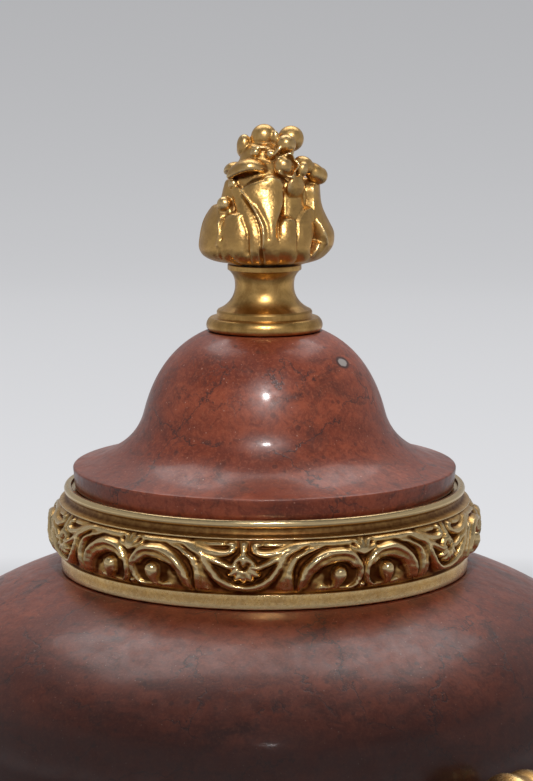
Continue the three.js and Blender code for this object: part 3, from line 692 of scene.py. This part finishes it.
def handle_line():
    """Middle line of the strap from the eye out, as [distance from the axis, height]."""
    points = []
    for share in np.linspace(0, 1, 60):
        angle = math.radians(340 - 340 * share)
        radius = EYE + 1.5 + (VOLUTE - STRAP_THICK / 2 - EYE - 1.5) * share**0.8
        points.append((coil_centre[0] + radius * math.cos(angle),
                       coil_centre[1] + radius * math.sin(angle)))
    start = points[-1]
    end = (scroll_centre[0] + 1, scroll_centre[1] + LOWER_SCROLL - STRAP_THICK / 2)
    drop = start[1] - end[1]
    return points + bend(start, (start[0], start[1] - drop / 2), (end[0] + 26, end[1] + 4), end, 60)


strap_line = np.array(handle_line())
print("the strap is", round(float(np.linalg.norm(np.diff(strap_line, axis=0), axis=1).sum())), "mm long")


# %% Handles
def rounded_section(width, thick, points=28):
    """A soft-cornered strap section with a raised spine, as [across, outward]."""
    angle = np.arange(points) * 2 * math.pi / points
    c, s = np.cos(angle), np.sin(angle)
    across = width / 2 * np.sign(c) * np.abs(c) ** 0.45
    outward = thick / 2 * np.sign(s) * np.abs(s) ** 0.6
    return np.column_stack([across, outward * (1 - 0.18 * np.cos(across / width * 4 * math.pi))])


def strap(side):
    """One handle's strap, swept along its middle line."""
    along = np.gradient(strap_line, axis=0)
    along /= np.linalg.norm(along, axis=1)[:, None]
    outward = np.column_stack([-along[:, 1], along[:, 0]])
    coil_share = np.clip(np.arange(len(strap_line)) / 60, 0, 1)
    corners = []
    for point, out, share in zip(strap_line, outward, coil_share):
        section = rounded_section(STRAP_WIDTH, STRAP_THICK * (0.62 + 0.38 * share) * 0.97)
        corners.append(np.column_stack([side * (point[0] + section[:, 1] * out[0]),
                                        section[:, 0],
                                        point[1] + section[:, 1] * out[1]]))
    count = corners[0].shape[0]
    faces = sheet_faces(len(corners), count)
    faces.append(list(range(count))[::-1])
    faces.append(list(range(count * (len(corners) - 1), count * len(corners))))
    return np.vstack(corners), faces


def boss(side, centre, profile, sectors=64):
    """A turned boss lying on its side, from a profile of [radius, distance to the side]."""
    turn = np.arange(sectors) * 2 * math.pi / sectors
    points = np.array(profile)
    ring = np.stack([side * (centre[0] + np.outer(points[:, 0], np.cos(turn))),
                     np.repeat(points[:, 1:], sectors, 1),
                     centre[1] + np.outer(points[:, 0], np.sin(turn))], -1).reshape(-1, 3)
    faces = sheet_faces(len(points), sectors)
    faces.append(list(range(sectors))[::-1])
    faces.append(list(range(sectors * (len(points) - 1), sectors * len(points))))
    return ring, faces


def mirrored(profile):
    """A boss profile from its one side to the other."""
    return [(r, -y) for r, y in profile] + [(r, y) for r, y in reversed(profile)]


disc_profile = mirrored(soften([(0.05, 2.5), (8.9, 2.5), (8.9, 0.5)], 0.4))
button_profile = mirrored([(EYE * math.sin(a) + 0.02, (STRAP_WIDTH / 2 + 0.9) * math.cos(a))
                           for a in np.linspace(0, math.pi / 2, 12)])
scroll_profile = mirrored(soften([(0.05, 5.6), (1.6, 5.4), (2.3, 4.4), (3.1, 4.2), (5.9, 4.9),
                                  (LOWER_SCROLL - 0.1, 4.0), (LOWER_SCROLL - 0.1, 1)], 0.4))
for side, node_name in ((1, "handle_right"), (-1, "handle_left")):
    pieces = [strap(side), boss(side, coil_centre, disc_profile), boss(side, coil_centre, button_profile),
              boss(side, scroll_centre, scroll_profile)]
    handle = melted(node_name + "_bronze", pieces, 0.45, 2, "gilt_bronze", (0, 0, BODY_LEVEL))
    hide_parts(node_name)
    print(handle.name, "faces:", len(handle.data.polygons))

# %% Leaf cup
LEAVES, LEAF_THICK, LEAF_HEIGHT, LEAF_NOTCH, LEAF_START = 8, 2.2, 27.0, 7.0, 0.5
CUP_COLUMNS, CUP_ROWS = 384, 26


def leaf_cup():
    """Eight leaves against the belly, each with a midrib and side veins."""
    degrees = np.arange(CUP_COLUMNS) * 360 / CUP_COLUMNS
    turn = np.radians(degrees)
    phase = np.abs(np.cos(turn * LEAVES / 2))
    tip = LEAF_HEIGHT - LEAF_NOTCH * (1 - phase**0.7)
    across = (degrees * LEAVES / 360 + 0.5) % 1 - 0.5
    rows = []
    for t in np.linspace(0, 1, CUP_ROWS):
        z = LEAF_START + (tip - LEAF_START) * t
        inner = np.array([body_radius(h) for h in z]) + GAP + 0.35
        swell = LEAF_THICK * (1 - 0.45 * t) * (0.7 + 0.3 * phase)
        rib = 0.35 * np.exp(-((across / 0.035) ** 2)) * (1 - 0.6 * t)
        vein = 0.16 * np.cos(2 * math.pi * (5 * t - 7 * np.abs(across))) * (phase > 0.35) * phase
        swell = swell + (rib + vein - 0.45) * min(1, 6 * (1 - t), 6 * t)
        rows.append((inner + swell, z - swell * 0.5))
    for t in np.linspace(1, 0, 8):
        z = LEAF_START + (tip - LEAF_START) * t
        rows.append((np.array([body_radius(h) for h in z]) + GAP + 0.35, z))
    corners = np.concatenate([np.column_stack([r * np.cos(turn), r * np.sin(turn), z]) for r, z in rows])
    return corners + [0, 0, BODY_LEVEL], sheet_faces(len(rows), CUP_COLUMNS, 0, True)


cup = new_piece("leaf_cup_bronze", *leaf_cup(), "gilt_bronze")
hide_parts("leaf_cup")
print("leaf cup faces:", len(cup.data.polygons))

# %% [markdown]
# ## How deep a point lies
# Gilding wears bright on the high points and darkens in the hollows. A vertex attribute
# that says how far each point lies below the smoothed surface around it is enough to
# drive both. Averaging each point with its neighbours many times gives that surface.

# %% Recess attribute
def mark_recess(obj, passes, depth_mm):
    """Stores 0 on high points, 0.5 on flat ones and 1 in hollows."""
    mesh = obj.data
    count = len(mesh.vertices)
    place = np.empty(count * 3)
    normal = np.empty(count * 3)
    mesh.vertices.foreach_get("co", place)
    mesh.vertices.foreach_get("normal", normal)
    place, normal = place.reshape(-1, 3), normal.reshape(-1, 3)
    ends = np.empty(len(mesh.edges) * 2, np.int64)
    mesh.edges.foreach_get("vertices", ends)
    a, b = ends.reshape(-1, 2).T
    links = np.maximum(np.bincount(a, minlength=count) + np.bincount(b, minlength=count), 1)
    blurred = place.copy()
    depth = np.zeros(count)
    for step in range(passes):
        total = np.stack([np.bincount(a, blurred[b, k], count) + np.bincount(b, blurred[a, k], count)
                          for k in range(3)], 1)
        blurred = 0.3 * blurred + 0.7 * total / links[:, None]
    depth = ((blurred - place) * normal).sum(1) / MM
    value = np.clip(0.5 + depth / (2 * depth_mm), 0, 1)
    layer = mesh.attributes.new("recess", "FLOAT", "POINT")
    layer.data.foreach_set("value", value)
    print(obj.name, "recess from", round(float(depth.min()), 2), "to", round(float(depth.max()), 2))


for obj, passes, depth_mm in ((bouquet, 40, 0.8), (collar, 24, 0.35), (cup, 20, 0.4), (socle, 8, 0.6),
                              (knop, 8, 0.8), (foot_ring, 8, 0.8), (base, 8, 0.8),
                              (bpy.data.objects["handle_right_bronze"], 20, 0.6),
                              (bpy.data.objects["handle_left_bronze"], 20, 0.6)):
    mark_recess(obj, passes, depth_mm)


# %% [markdown]
# ## Finishes
# A finish is a set of nodes. This small helper makes one node and wires its inputs, so
# that a material reads from top to bottom. Effects that several finishes share are node
# groups with named sockets, and they only put out masks and heights.

# %% Node helpers
def node(tree, kind, inputs=None, **settings):
    """Makes a node, sets its options, and fills or links its inputs."""
    made = tree.nodes.new(kind)
    for name, value in settings.items():
        setattr(made, name, value)
    for key, value in (inputs or {}).items():
        if isinstance(value, bpy.types.NodeSocket):
            tree.links.new(value, made.inputs[key])
        else:
            made.inputs[key].default_value = value
    return made


def new_group(name, sockets_in, sockets_out):
    """An empty node group; inputs are name: (type, default)."""
    tree = bpy.data.node_groups.new(name, "ShaderNodeTree")
    for label, (kind, default) in sockets_in.items():
        socket = tree.interface.new_socket(label, in_out="INPUT", socket_type="NodeSocket" + kind)
        socket.default_value = default
    for label, kind in sockets_out.items():
        tree.interface.new_socket(label, in_out="OUTPUT", socket_type="NodeSocket" + kind)
    return tree, tree.nodes.new("NodeGroupInput").outputs, tree.nodes.new("NodeGroupOutput")


def math_node(tree, operation, a, b=0.0, clamp=False):
    return node(tree, "ShaderNodeMath", {0: a, 1: b}, operation=operation, use_clamp=clamp).outputs[0]


def ramp(tree, value, low, high, to_low=0.0, to_high=1.0):
    """Smooth change from one value to another."""
    return node(tree, "ShaderNodeMapRange", {"Value": value, "From Min": low, "From Max": high,
                                             "To Min": to_low, "To Max": to_high},
                interpolation_type="SMOOTHSTEP").outputs["Result"]


def mix_colour(tree, factor, a, b, blend="MIX"):
    return node(tree, "ShaderNodeMix", {0: factor, 6: a, 7: b}, data_type="RGBA",
                blend_type=blend).outputs[2]


def placed(group_tree, tree, **inputs):
    """Puts a group into a tree and wires its inputs."""
    made = tree.nodes.new("ShaderNodeGroup")
    made.node_tree = group_tree
    for key, value in inputs.items():
        socket = made.inputs[key.replace("_", " ")]
        if isinstance(value, bpy.types.NodeSocket):
            tree.links.new(value, socket)
        else:
            socket.default_value = value
    return made.outputs


def srgb(red, green, blue):
    """A colour as a painter names it, 0 to 255, turned into light values."""
    return tuple(((c / 255 + 0.055) / 1.055) ** 2.4 if c > 10 else c / 3294.6
                 for c in (red, green, blue)) + (1.0,)


# %% Shared effects
def noise(tree, vector, scale, detail=4.0, roughness=0.55, distortion=0.0):
    return node(tree, "ShaderNodeTexNoise", {"Vector": vector, "Scale": scale, "Detail": detail,
                                             "Roughness": roughness, "Distortion": distortion})


# Crack lines: edges of warped cells, broken up so that they come and go.
cracks, given, out = new_group("cracks", {"Vector": ("Vector", (0, 0, 0)), "Scale": ("Float", 1.0),
                                          "Width": ("Float", 0.02), "Cover": ("Float", 0.5)},
                               {"Mask": "Float"})
warp = noise(cracks, given["Vector"], 0.09, 6.0, 0.65).outputs["Color"]
shift = node(cracks, "ShaderNodeVectorMath", {0: warp, 1: (16, 16, 16)}, operation="MULTIPLY").outputs[0]
bent = node(cracks, "ShaderNodeVectorMath", {0: given["Vector"], 1: shift}, operation="ADD").outputs[0]
cells = node(cracks, "ShaderNodeTexVoronoi", {"Vector": bent, "Scale": given["Scale"]},
             feature="DISTANCE_TO_EDGE")
edge = ramp(cracks, math_node(cracks, "DIVIDE", cells.outputs["Distance"], given["Width"]), 0.0, 1.0, 1.0, 0.0)
patchy = noise(cracks, given["Vector"], 0.07, 3.0).outputs["Fac"]
shown = ramp(cracks, math_node(cracks, "ADD", patchy, given["Cover"]), 0.95, 1.1)
cracks.links.new(math_node(cracks, "MULTIPLY", edge, shown), out.inputs["Mask"])

# Specks: a dot of random size in a share of the cells.
specks, given, out = new_group("specks", {"Vector": ("Vector", (0, 0, 0)), "Scale": ("Float", 1.0),
                                          "Share": ("Float", 0.3), "Size": ("Float", 0.3)},
                               {"Mask": "Float"})
dots = node(specks, "ShaderNodeTexVoronoi", {"Vector": given["Vector"], "Scale": given["Scale"]})
pick = node(specks, "ShaderNodeSeparateColor", {0: dots.outputs["Color"]})
size = math_node(specks, "MULTIPLY", given["Size"], ramp(specks, pick.outputs[1], 0.0, 1.0, 0.35, 1.0))
spot = ramp(specks, math_node(specks, "DIVIDE", dots.outputs["Distance"], size), 0.6, 1.0, 1.0, 0.0)
chosen = math_node(specks, "LESS_THAN", pick.outputs[0], given["Share"])
specks.links.new(math_node(specks, "MULTIPLY", spot, chosen), out.inputs["Mask"])

# Wear: bright high points and dark hollows from the recess attribute, broken by noise.
wear, given, out = new_group("wear", {"Vector": ("Vector", (0, 0, 0)), "Scale": ("Float", 0.8),
                                      "Break up": ("Float", 0.25)},
                             {"Hollow": "Float", "High": "Float"})
depth = node(wear, "ShaderNodeAttribute", attribute_name="recess").outputs["Fac"]
rough = math_node(wear, "SUBTRACT", noise(wear, given["Vector"], given["Scale"], 5.0, 0.6).outputs["Fac"], 0.5)
uneven = math_node(wear, "ADD", depth, math_node(wear, "MULTIPLY", rough, given["Break up"]))
wear.links.new(ramp(wear, uneven, 0.52, 0.86), out.inputs["Hollow"])
wear.links.new(ramp(wear, uneven, 0.44, 0.2), out.inputs["High"])
print("node groups:", [group.name for group in bpy.data.node_groups])


# %% [markdown]
# ## Red marble
# Griotte marble is a brick red limestone, clouded with darker brown, cut by hair-thin
# dark cracks, and scattered with pale crumbs of shell. It is waxed, not mirror polished,
# so it has a soft gloss under a thinner bright one. All of it is noise in the stone's own
# space, as a real block is cut through its pattern, except the body's painted shade, which darkens it towards its
# foot.

# %% Marble
def marble(name, offset, layers, dark_amount=0.5, shell_at=None, painted_shade_band=None):
    """A red marble; layers stretches its bedding, offset picks the block's part, shell_at
    is the middle of one large grey fossil in mm, painted_shade_band two heights between which painted shade darkens
    it towards the bottom."""
    material = bpy.data.materials.new(name)
    material.use_nodes = True
    tree = material.node_tree
    shader = tree.nodes["Principled BSDF"]
    here = node(tree, "ShaderNodeTexCoord").outputs["Object"]
    mm = node(tree, "ShaderNodeMapping", {0: here, "Location": offset, "Scale": (1000, 1000, 1000)}).outputs[0]
    bedded = node(tree, "ShaderNodeMapping", {0: mm, "Rotation": (0.12, -0.2, 0.3),
                                              "Scale": layers}).outputs[0]
    cloud = noise(tree, bedded, 0.035, 7.0, 0.62, 0.6).outputs["Fac"]
    smear = noise(tree, bedded, 0.09, 6.0, 0.68, 1.1).outputs["Fac"]
    grain = noise(tree, mm, 1.6, 4.0, 0.7).outputs["Fac"]
    colour = mix_colour(tree, ramp(tree, cloud, 0.36, 0.62), srgb(134, 58, 34), srgb(172, 84, 55))
    mottle = noise(tree, mm, 0.42, 6.0, 0.72, 0.7).outputs["Fac"]
    colour = mix_colour(tree, ramp(tree, mottle, 0.38, 0.66, 0.0, 0.75), colour, srgb(112, 46, 30))
    colour = mix_colour(tree, ramp(tree, smear, 0.5, 0.7, 0.0, dark_amount), colour, srgb(70, 36, 29))
    colour = mix_colour(tree, ramp(tree, grain, 0.45, 0.8, 0.0, 0.55), colour, srgb(196, 112, 78))
    brown = placed(specks, tree, Vector=mm, Scale=0.42, Share=0.3, Size=0.34)["Mask"]
    colour = mix_colour(tree, math_node(tree, "MULTIPLY", brown, 0.5), colour, srgb(62, 30, 27))
    hair = placed(cracks, tree, Vector=mm, Scale=0.036, Width=0.014, Cover=0.56)["Mask"]
    fine = placed(cracks, tree, Vector=mm, Scale=0.13, Width=0.03, Cover=0.46)["Mask"]
    line = math_node(tree, "MAXIMUM", hair, math_node(tree, "MULTIPLY", fine, 0.6))
    colour = mix_colour(tree, math_node(tree, "MULTIPLY", line, 0.8), colour, srgb(58, 38, 36))
    pale = placed(specks, tree, Vector=mm, Scale=0.95, Share=0.26, Size=0.2)["Mask"]
    colour = mix_colour(tree, math_node(tree, "MULTIPLY", pale, 0.55), colour, srgb(220, 168, 146))
    if shell_at is not None:
        own = node(tree, "ShaderNodeMapping", {0: here, "Scale": (1000, 1000, 1000)}).outputs[0]
        away = node(tree, "ShaderNodeVectorMath", {0: own, 1: shell_at}, operation="SUBTRACT").outputs[0]
        flat = node(tree, "ShaderNodeMapping", {0: away, "Scale": (0.62, 0.62, 0.95)}).outputs[0]
        far = node(tree, "ShaderNodeVectorMath", {0: flat}, operation="LENGTH").outputs["Value"]
        far = math_node(tree, "ADD", far, math_node(tree, "MULTIPLY", mottle, 0.7))
        colour = mix_colour(tree, ramp(tree, far, 1.5, 2.0, 0.85, 0.0), colour, srgb(52, 34, 34))
        colour = mix_colour(tree, ramp(tree, far, 1.1, 1.4, 0.9, 0.0), colour, srgb(186, 176, 170))
    # painted shade: the body's stone darkens towards its foot, where the belly falls into shade
    if painted_shade_band is not None:
        up = node(tree, "ShaderNodeSeparateXYZ", {0: here}).outputs[2]
        up = math_node(tree, "ADD", up, math_node(tree, "MULTIPLY", cloud, 0.02))
        colour = mix_colour(tree, ramp(tree, up, painted_shade_band[0], painted_shade_band[1], 0.8, 0.0), colour, srgb(66, 32, 25))
    tree.links.new(colour, shader.inputs["Base Color"])
    haze = noise(tree, mm, 0.25, 5.0, 0.65).outputs["Fac"]
    tree.links.new(ramp(tree, haze, 0.3, 0.7, 0.3, 0.46), shader.inputs["Roughness"])
    pits = math_node(tree, "SUBTRACT", math_node(tree, "MULTIPLY", grain, 0.25), line)
    bump = node(tree, "ShaderNodeBump", {"Height": pits, "Strength": 0.4, "Distance": 0.00005})
    tree.links.new(bump.outputs[0], shader.inputs["Normal"])
    shader.inputs["Coat Weight"].default_value = 0.2
    shader.inputs["Coat Roughness"].default_value = 0.12
    return material


lid_marble = marble("marble lid", (12, 3, 40), (0.8, 0.8, 1.5), 0.6, shell_at=(19.3, 8.4, 274.5))
body_marble = marble("marble body", (-70, 21, -15), (0.6, 0.6, 2.2), 0.75, painted_shade_band=(0.21, 0.235))
foot_marble = marble("marble foot", (33, -48, 10), (0.7, 0.7, 1.8))
lid.data.materials.append(lid_marble)
body.data.materials.append(body_marble)
foot.data.materials.append(foot_marble)
plinth.data.materials.append(foot_marble)


# %% [markdown]
# ## Gilt bronze
# The mounts are bronze, cast, chased and gilded. The leaves and the ground were matted
# with a small round punch, the ridges burnished. Old gilding keeps an orange brown
# lacquer and dirt in the hollows. One recipe with three settings serves all mounts.

# %% Gilt bronze
def gilt(name, matting, recessed, roughness, tone=(198, 156, 96), dirt=(92, 44, 12)):
    """Gilt bronze: matting 0 to 1, how dark the hollows are, and the shine."""
    material = bpy.data.materials.new(name)
    material.use_nodes = True
    tree = material.node_tree
    shader = tree.nodes["Principled BSDF"]
    here = node(tree, "ShaderNodeTexCoord").outputs["Object"]
    mm = node(tree, "ShaderNodeMapping", {0: here, "Scale": (1000, 1000, 1000)}).outputs[0]
    tarnish = noise(tree, mm, 0.22, 5.0, 0.62, 0.4).outputs["Fac"]
    fine = noise(tree, mm, 2.4, 4.0, 0.65).outputs["Fac"]
    worn = placed(wear, tree, Vector=mm, Scale=0.9, Break_up=0.22)
    colour = mix_colour(tree, ramp(tree, tarnish, 0.35, 0.68), srgb(*tone), srgb(222, 178, 108))
    colour = mix_colour(tree, ramp(tree, fine, 0.55, 0.8, 0.0, 0.35), colour, srgb(128, 90, 44))
    colour = mix_colour(tree, math_node(tree, "MULTIPLY", worn["High"], 0.6), colour, srgb(246, 224, 176))
    colour = mix_colour(tree, math_node(tree, "MULTIPLY", worn["Hollow"], recessed), colour, srgb(*dirt))
    tree.links.new(colour, shader.inputs["Base Color"])
    dull = ramp(tree, fine, 0.25, 0.75, roughness - 0.06, roughness + 0.08)
    dull = math_node(tree, "ADD", dull, math_node(tree, "MULTIPLY", worn["Hollow"], 0.2))
    dull = math_node(tree, "SUBTRACT", dull, math_node(tree, "MULTIPLY", worn["High"], 0.1))
    tree.links.new(dull, shader.inputs["Roughness"])
    shader.inputs["Metallic"].default_value = 1.0
    punch = node(tree, "ShaderNodeTexVoronoi", {"Vector": mm, "Scale": 1.5}, feature="SMOOTH_F1")
    dimple = math_node(tree, "MULTIPLY", punch.outputs["Distance"], matting)
    height = math_node(tree, "ADD", math_node(tree, "MULTIPLY", fine, 0.35), dimple)
    bump = node(tree, "ShaderNodeBump", {"Height": height, "Strength": 0.6, "Distance": 0.0001})
    tree.links.new(bump.outputs[0], shader.inputs["Normal"])
    return material


bouquet_gilt = gilt("gilt bouquet", 0.9, 0.9, 0.36)
frieze_gilt = gilt("gilt frieze", 0.15, 0.95, 0.3)
turned_gilt = gilt("gilt turned", 0.1, 0.6, 0.33, (176, 134, 76))
bouquet.data.materials.append(bouquet_gilt)
collar.data.materials.append(frieze_gilt)
for mount in (socle, knop, foot_ring, cup, base, bpy.data.objects["handle_right_bronze"],
              bpy.data.objects["handle_left_bronze"]):
    mount.data.materials.append(turned_gilt)
print("materials:", [material.name for material in bpy.data.materials])

# %% [markdown]
# ## Stage, light and camera
# A pale round sweep stands behind the urn whichever way it is seen; beyond a metre it glows
# with painted light. One large soft light hangs above and behind, a small soft one above the
# camera gives the stone its highlight, and the rest of the room stays dim, so the front of the belly falls away into
# shade, darkened further by painted shade in the body's stone.

# %% Stage
FLAT_FLOOR, SWEEP, WALL_TOP = 2.6, 1.2, 3.2
sweep_profile = [(0.0, 0.0), (0.3, 0.0), (1.0, 0.0), (1.8, 0.0), (FLAT_FLOOR, 0.0)]
sweep_profile += [(FLAT_FLOOR + SWEEP * math.sin(a), SWEEP * (1 - math.cos(a)))
                  for a in np.linspace(0, math.pi / 2, 20)[1:]]
sweep_profile.append((FLAT_FLOOR + SWEEP, WALL_TOP))
turn = np.arange(128) * 2 * math.pi / 128
rings = np.array(sweep_profile[1:])
stage_corners = np.stack([np.outer(rings[:, 0], np.cos(turn)), np.outer(rings[:, 0], np.sin(turn)),
                          np.repeat(rings[:, 1:], 128, 1)], -1).reshape(-1, 3)
stage_corners = np.vstack([[[0, 0, 0]], stage_corners]) / MM
stage_faces = [(0, 1 + j, 1 + (j + 1) % 128) for j in range(128)] + sheet_faces(len(rings), 128, 1)
sweep = new_piece("sweep", stage_corners, stage_faces, None)
paper = bpy.data.materials.new("pale paper")
paper.use_nodes = True
tree = paper.node_tree
where = node(tree, "ShaderNodeSeparateXYZ", {0: node(tree, "ShaderNodeTexCoord").outputs["Object"]})
away = math_node(tree, "SQRT", math_node(
    tree, "ADD", math_node(tree, "MULTIPLY", where.outputs[0], where.outputs[0]),
    math_node(tree, "MULTIPLY", where.outputs[1], where.outputs[1])))
# the paper near the urn takes its light from the lamps; further out it glows with painted light, brightest a metre
# out and fading with distance, at full strength to the camera, a little weaker in reflections, and only about a fifth
# as strong on the urn
PAPER_REACH = 4.0
glow = node(tree, "ShaderNodeValToRGB", {0: math_node(tree, "DIVIDE", away, PAPER_REACH)})
stops = glow.color_ramp.elements
for metres, grey in ((0.75, 0.0), (1.05, 0.753), (1.22, 0.73), (1.69, 0.68), (2.48, 0.61), (2.97, 0.546),
                     (3.28, 0.49), (3.6, 0.43)):
    stop = stops.new(metres / PAPER_REACH)
    stop.color = (grey * 0.985, grey * 0.99, grey * 1.02, 1)
stops.remove(stops[-1])
path = node(tree, "ShaderNodeLightPath").outputs
seen = math_node(tree, "MAXIMUM", path["Is Camera Ray"], math_node(tree, "MULTIPLY", path["Is Glossy Ray"], 0.8))
share_seen = math_node(tree, "ADD", math_node(tree, "MULTIPLY", seen, 0.78), 0.22)
glowing = node(tree, "ShaderNodeVectorMath", {0: glow.outputs["Color"], "Scale": share_seen},
               operation="SCALE").outputs[0]
tree.links.new(glowing, tree.nodes["Principled BSDF"].inputs["Emission Color"])
tree.nodes["Principled BSDF"].inputs["Emission Strength"].default_value = 1.0
# beyond about a metre the paper's own colour goes nearly black, so its brightness there is only painted light
shade = ramp(tree, away, 0.65, 1.05, 0.0, 1.0)
tree.links.new(mix_colour(tree, shade, (0.66, 0.66, 0.67, 1), (0.02, 0.02, 0.02, 1)),
               tree.nodes["Principled BSDF"].inputs["Base Color"])
tree.nodes["Principled BSDF"].inputs["Roughness"].default_value = 0.9
tree.nodes["Principled BSDF"].inputs["Specular IOR Level"].default_value = 0.1
sweep.data.materials.append(paper)
print("stage radius", FLAT_FLOOR + SWEEP, "m")

# %% Camera
AIM_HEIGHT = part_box("collar")[0][2] + 40.7 * MM
CAMERA_BEARING, CAMERA_PITCH, CAMERA_DISTANCE = math.radians(-32), math.radians(8.66), 0.5897
toward = Vector((math.cos(CAMERA_PITCH) * math.cos(CAMERA_BEARING),
                 math.cos(CAMERA_PITCH) * math.sin(CAMERA_BEARING), math.sin(CAMERA_PITCH)))
rightward = Vector((-math.sin(CAMERA_BEARING), math.cos(CAMERA_BEARING), 0))
camera_data = bpy.data.cameras.new("camera")
camera_data.lens, camera_data.sensor_width = 117.5, 36
camera_data.clip_start = 0.05
camera = bpy.data.objects.new("camera", camera_data)
camera.location = Vector((0, 0, AIM_HEIGHT)) + toward * CAMERA_DISTANCE + rightward * 0.00046
camera.rotation_mode = "QUATERNION"
camera.rotation_quaternion = (-toward).to_track_quat("-Z", "Y")
bpy.context.scene.collection.objects.link(camera)
bpy.context.scene.camera = camera
print("camera", [round(c, 3) for c in camera.location])


# %% Lights
def aim(obj, place, target):
    """Puts a light at a place and points it at a target."""
    obj.location = place
    obj.rotation_mode = "QUATERNION"
    obj.rotation_quaternion = (Vector(target) - Vector(place)).to_track_quat("-Z", "Y")
    obj.visible_camera = False
    bpy.context.scene.collection.objects.link(obj)


def lamp(name, kind, power, place, target, **settings):
    data = bpy.data.lights.new(name, kind)
    data.energy = power
    for key, value in settings.items():
        setattr(data, key, value)
    aim(bpy.data.objects.new(name, data), place, target)


def round_the_urn(bearing, elevation, distance, height=0.27):
    """A place at a bearing from the camera's side, in degrees, seen from the lid."""
    turn, rise = CAMERA_BEARING + math.radians(bearing), math.radians(elevation)
    return (distance * math.cos(rise) * math.cos(turn), distance * math.cos(rise) * math.sin(turn),
            height + distance * math.sin(rise))


LID_CENTRE = (0, 0, 0.27)
lamp("key", "SPOT", 17.0, round_the_urn(2, 43, 0.9), (0, 0, 0.285), spot_size=math.radians(10.5),
     spot_blend=0.35, shadow_soft_size=0.045)
lamp("soft box", "AREA", 11.0, round_the_urn(180, 62, 1.5), LID_CENTRE, shape="RECTANGLE",
     size=1.6, size_y=0.9)
world = bpy.data.worlds.new("room")
world.use_nodes = True
world.node_tree.nodes["Background"].inputs["Color"].default_value = (0.9, 0.93, 1.0, 1)
world.node_tree.nodes["Background"].inputs["Strength"].default_value = 0.2
bpy.context.scene.world = world
bpy.context.scene.view_settings.view_transform = "Standard"
print("lights:", [light.name for light in bpy.data.lights])
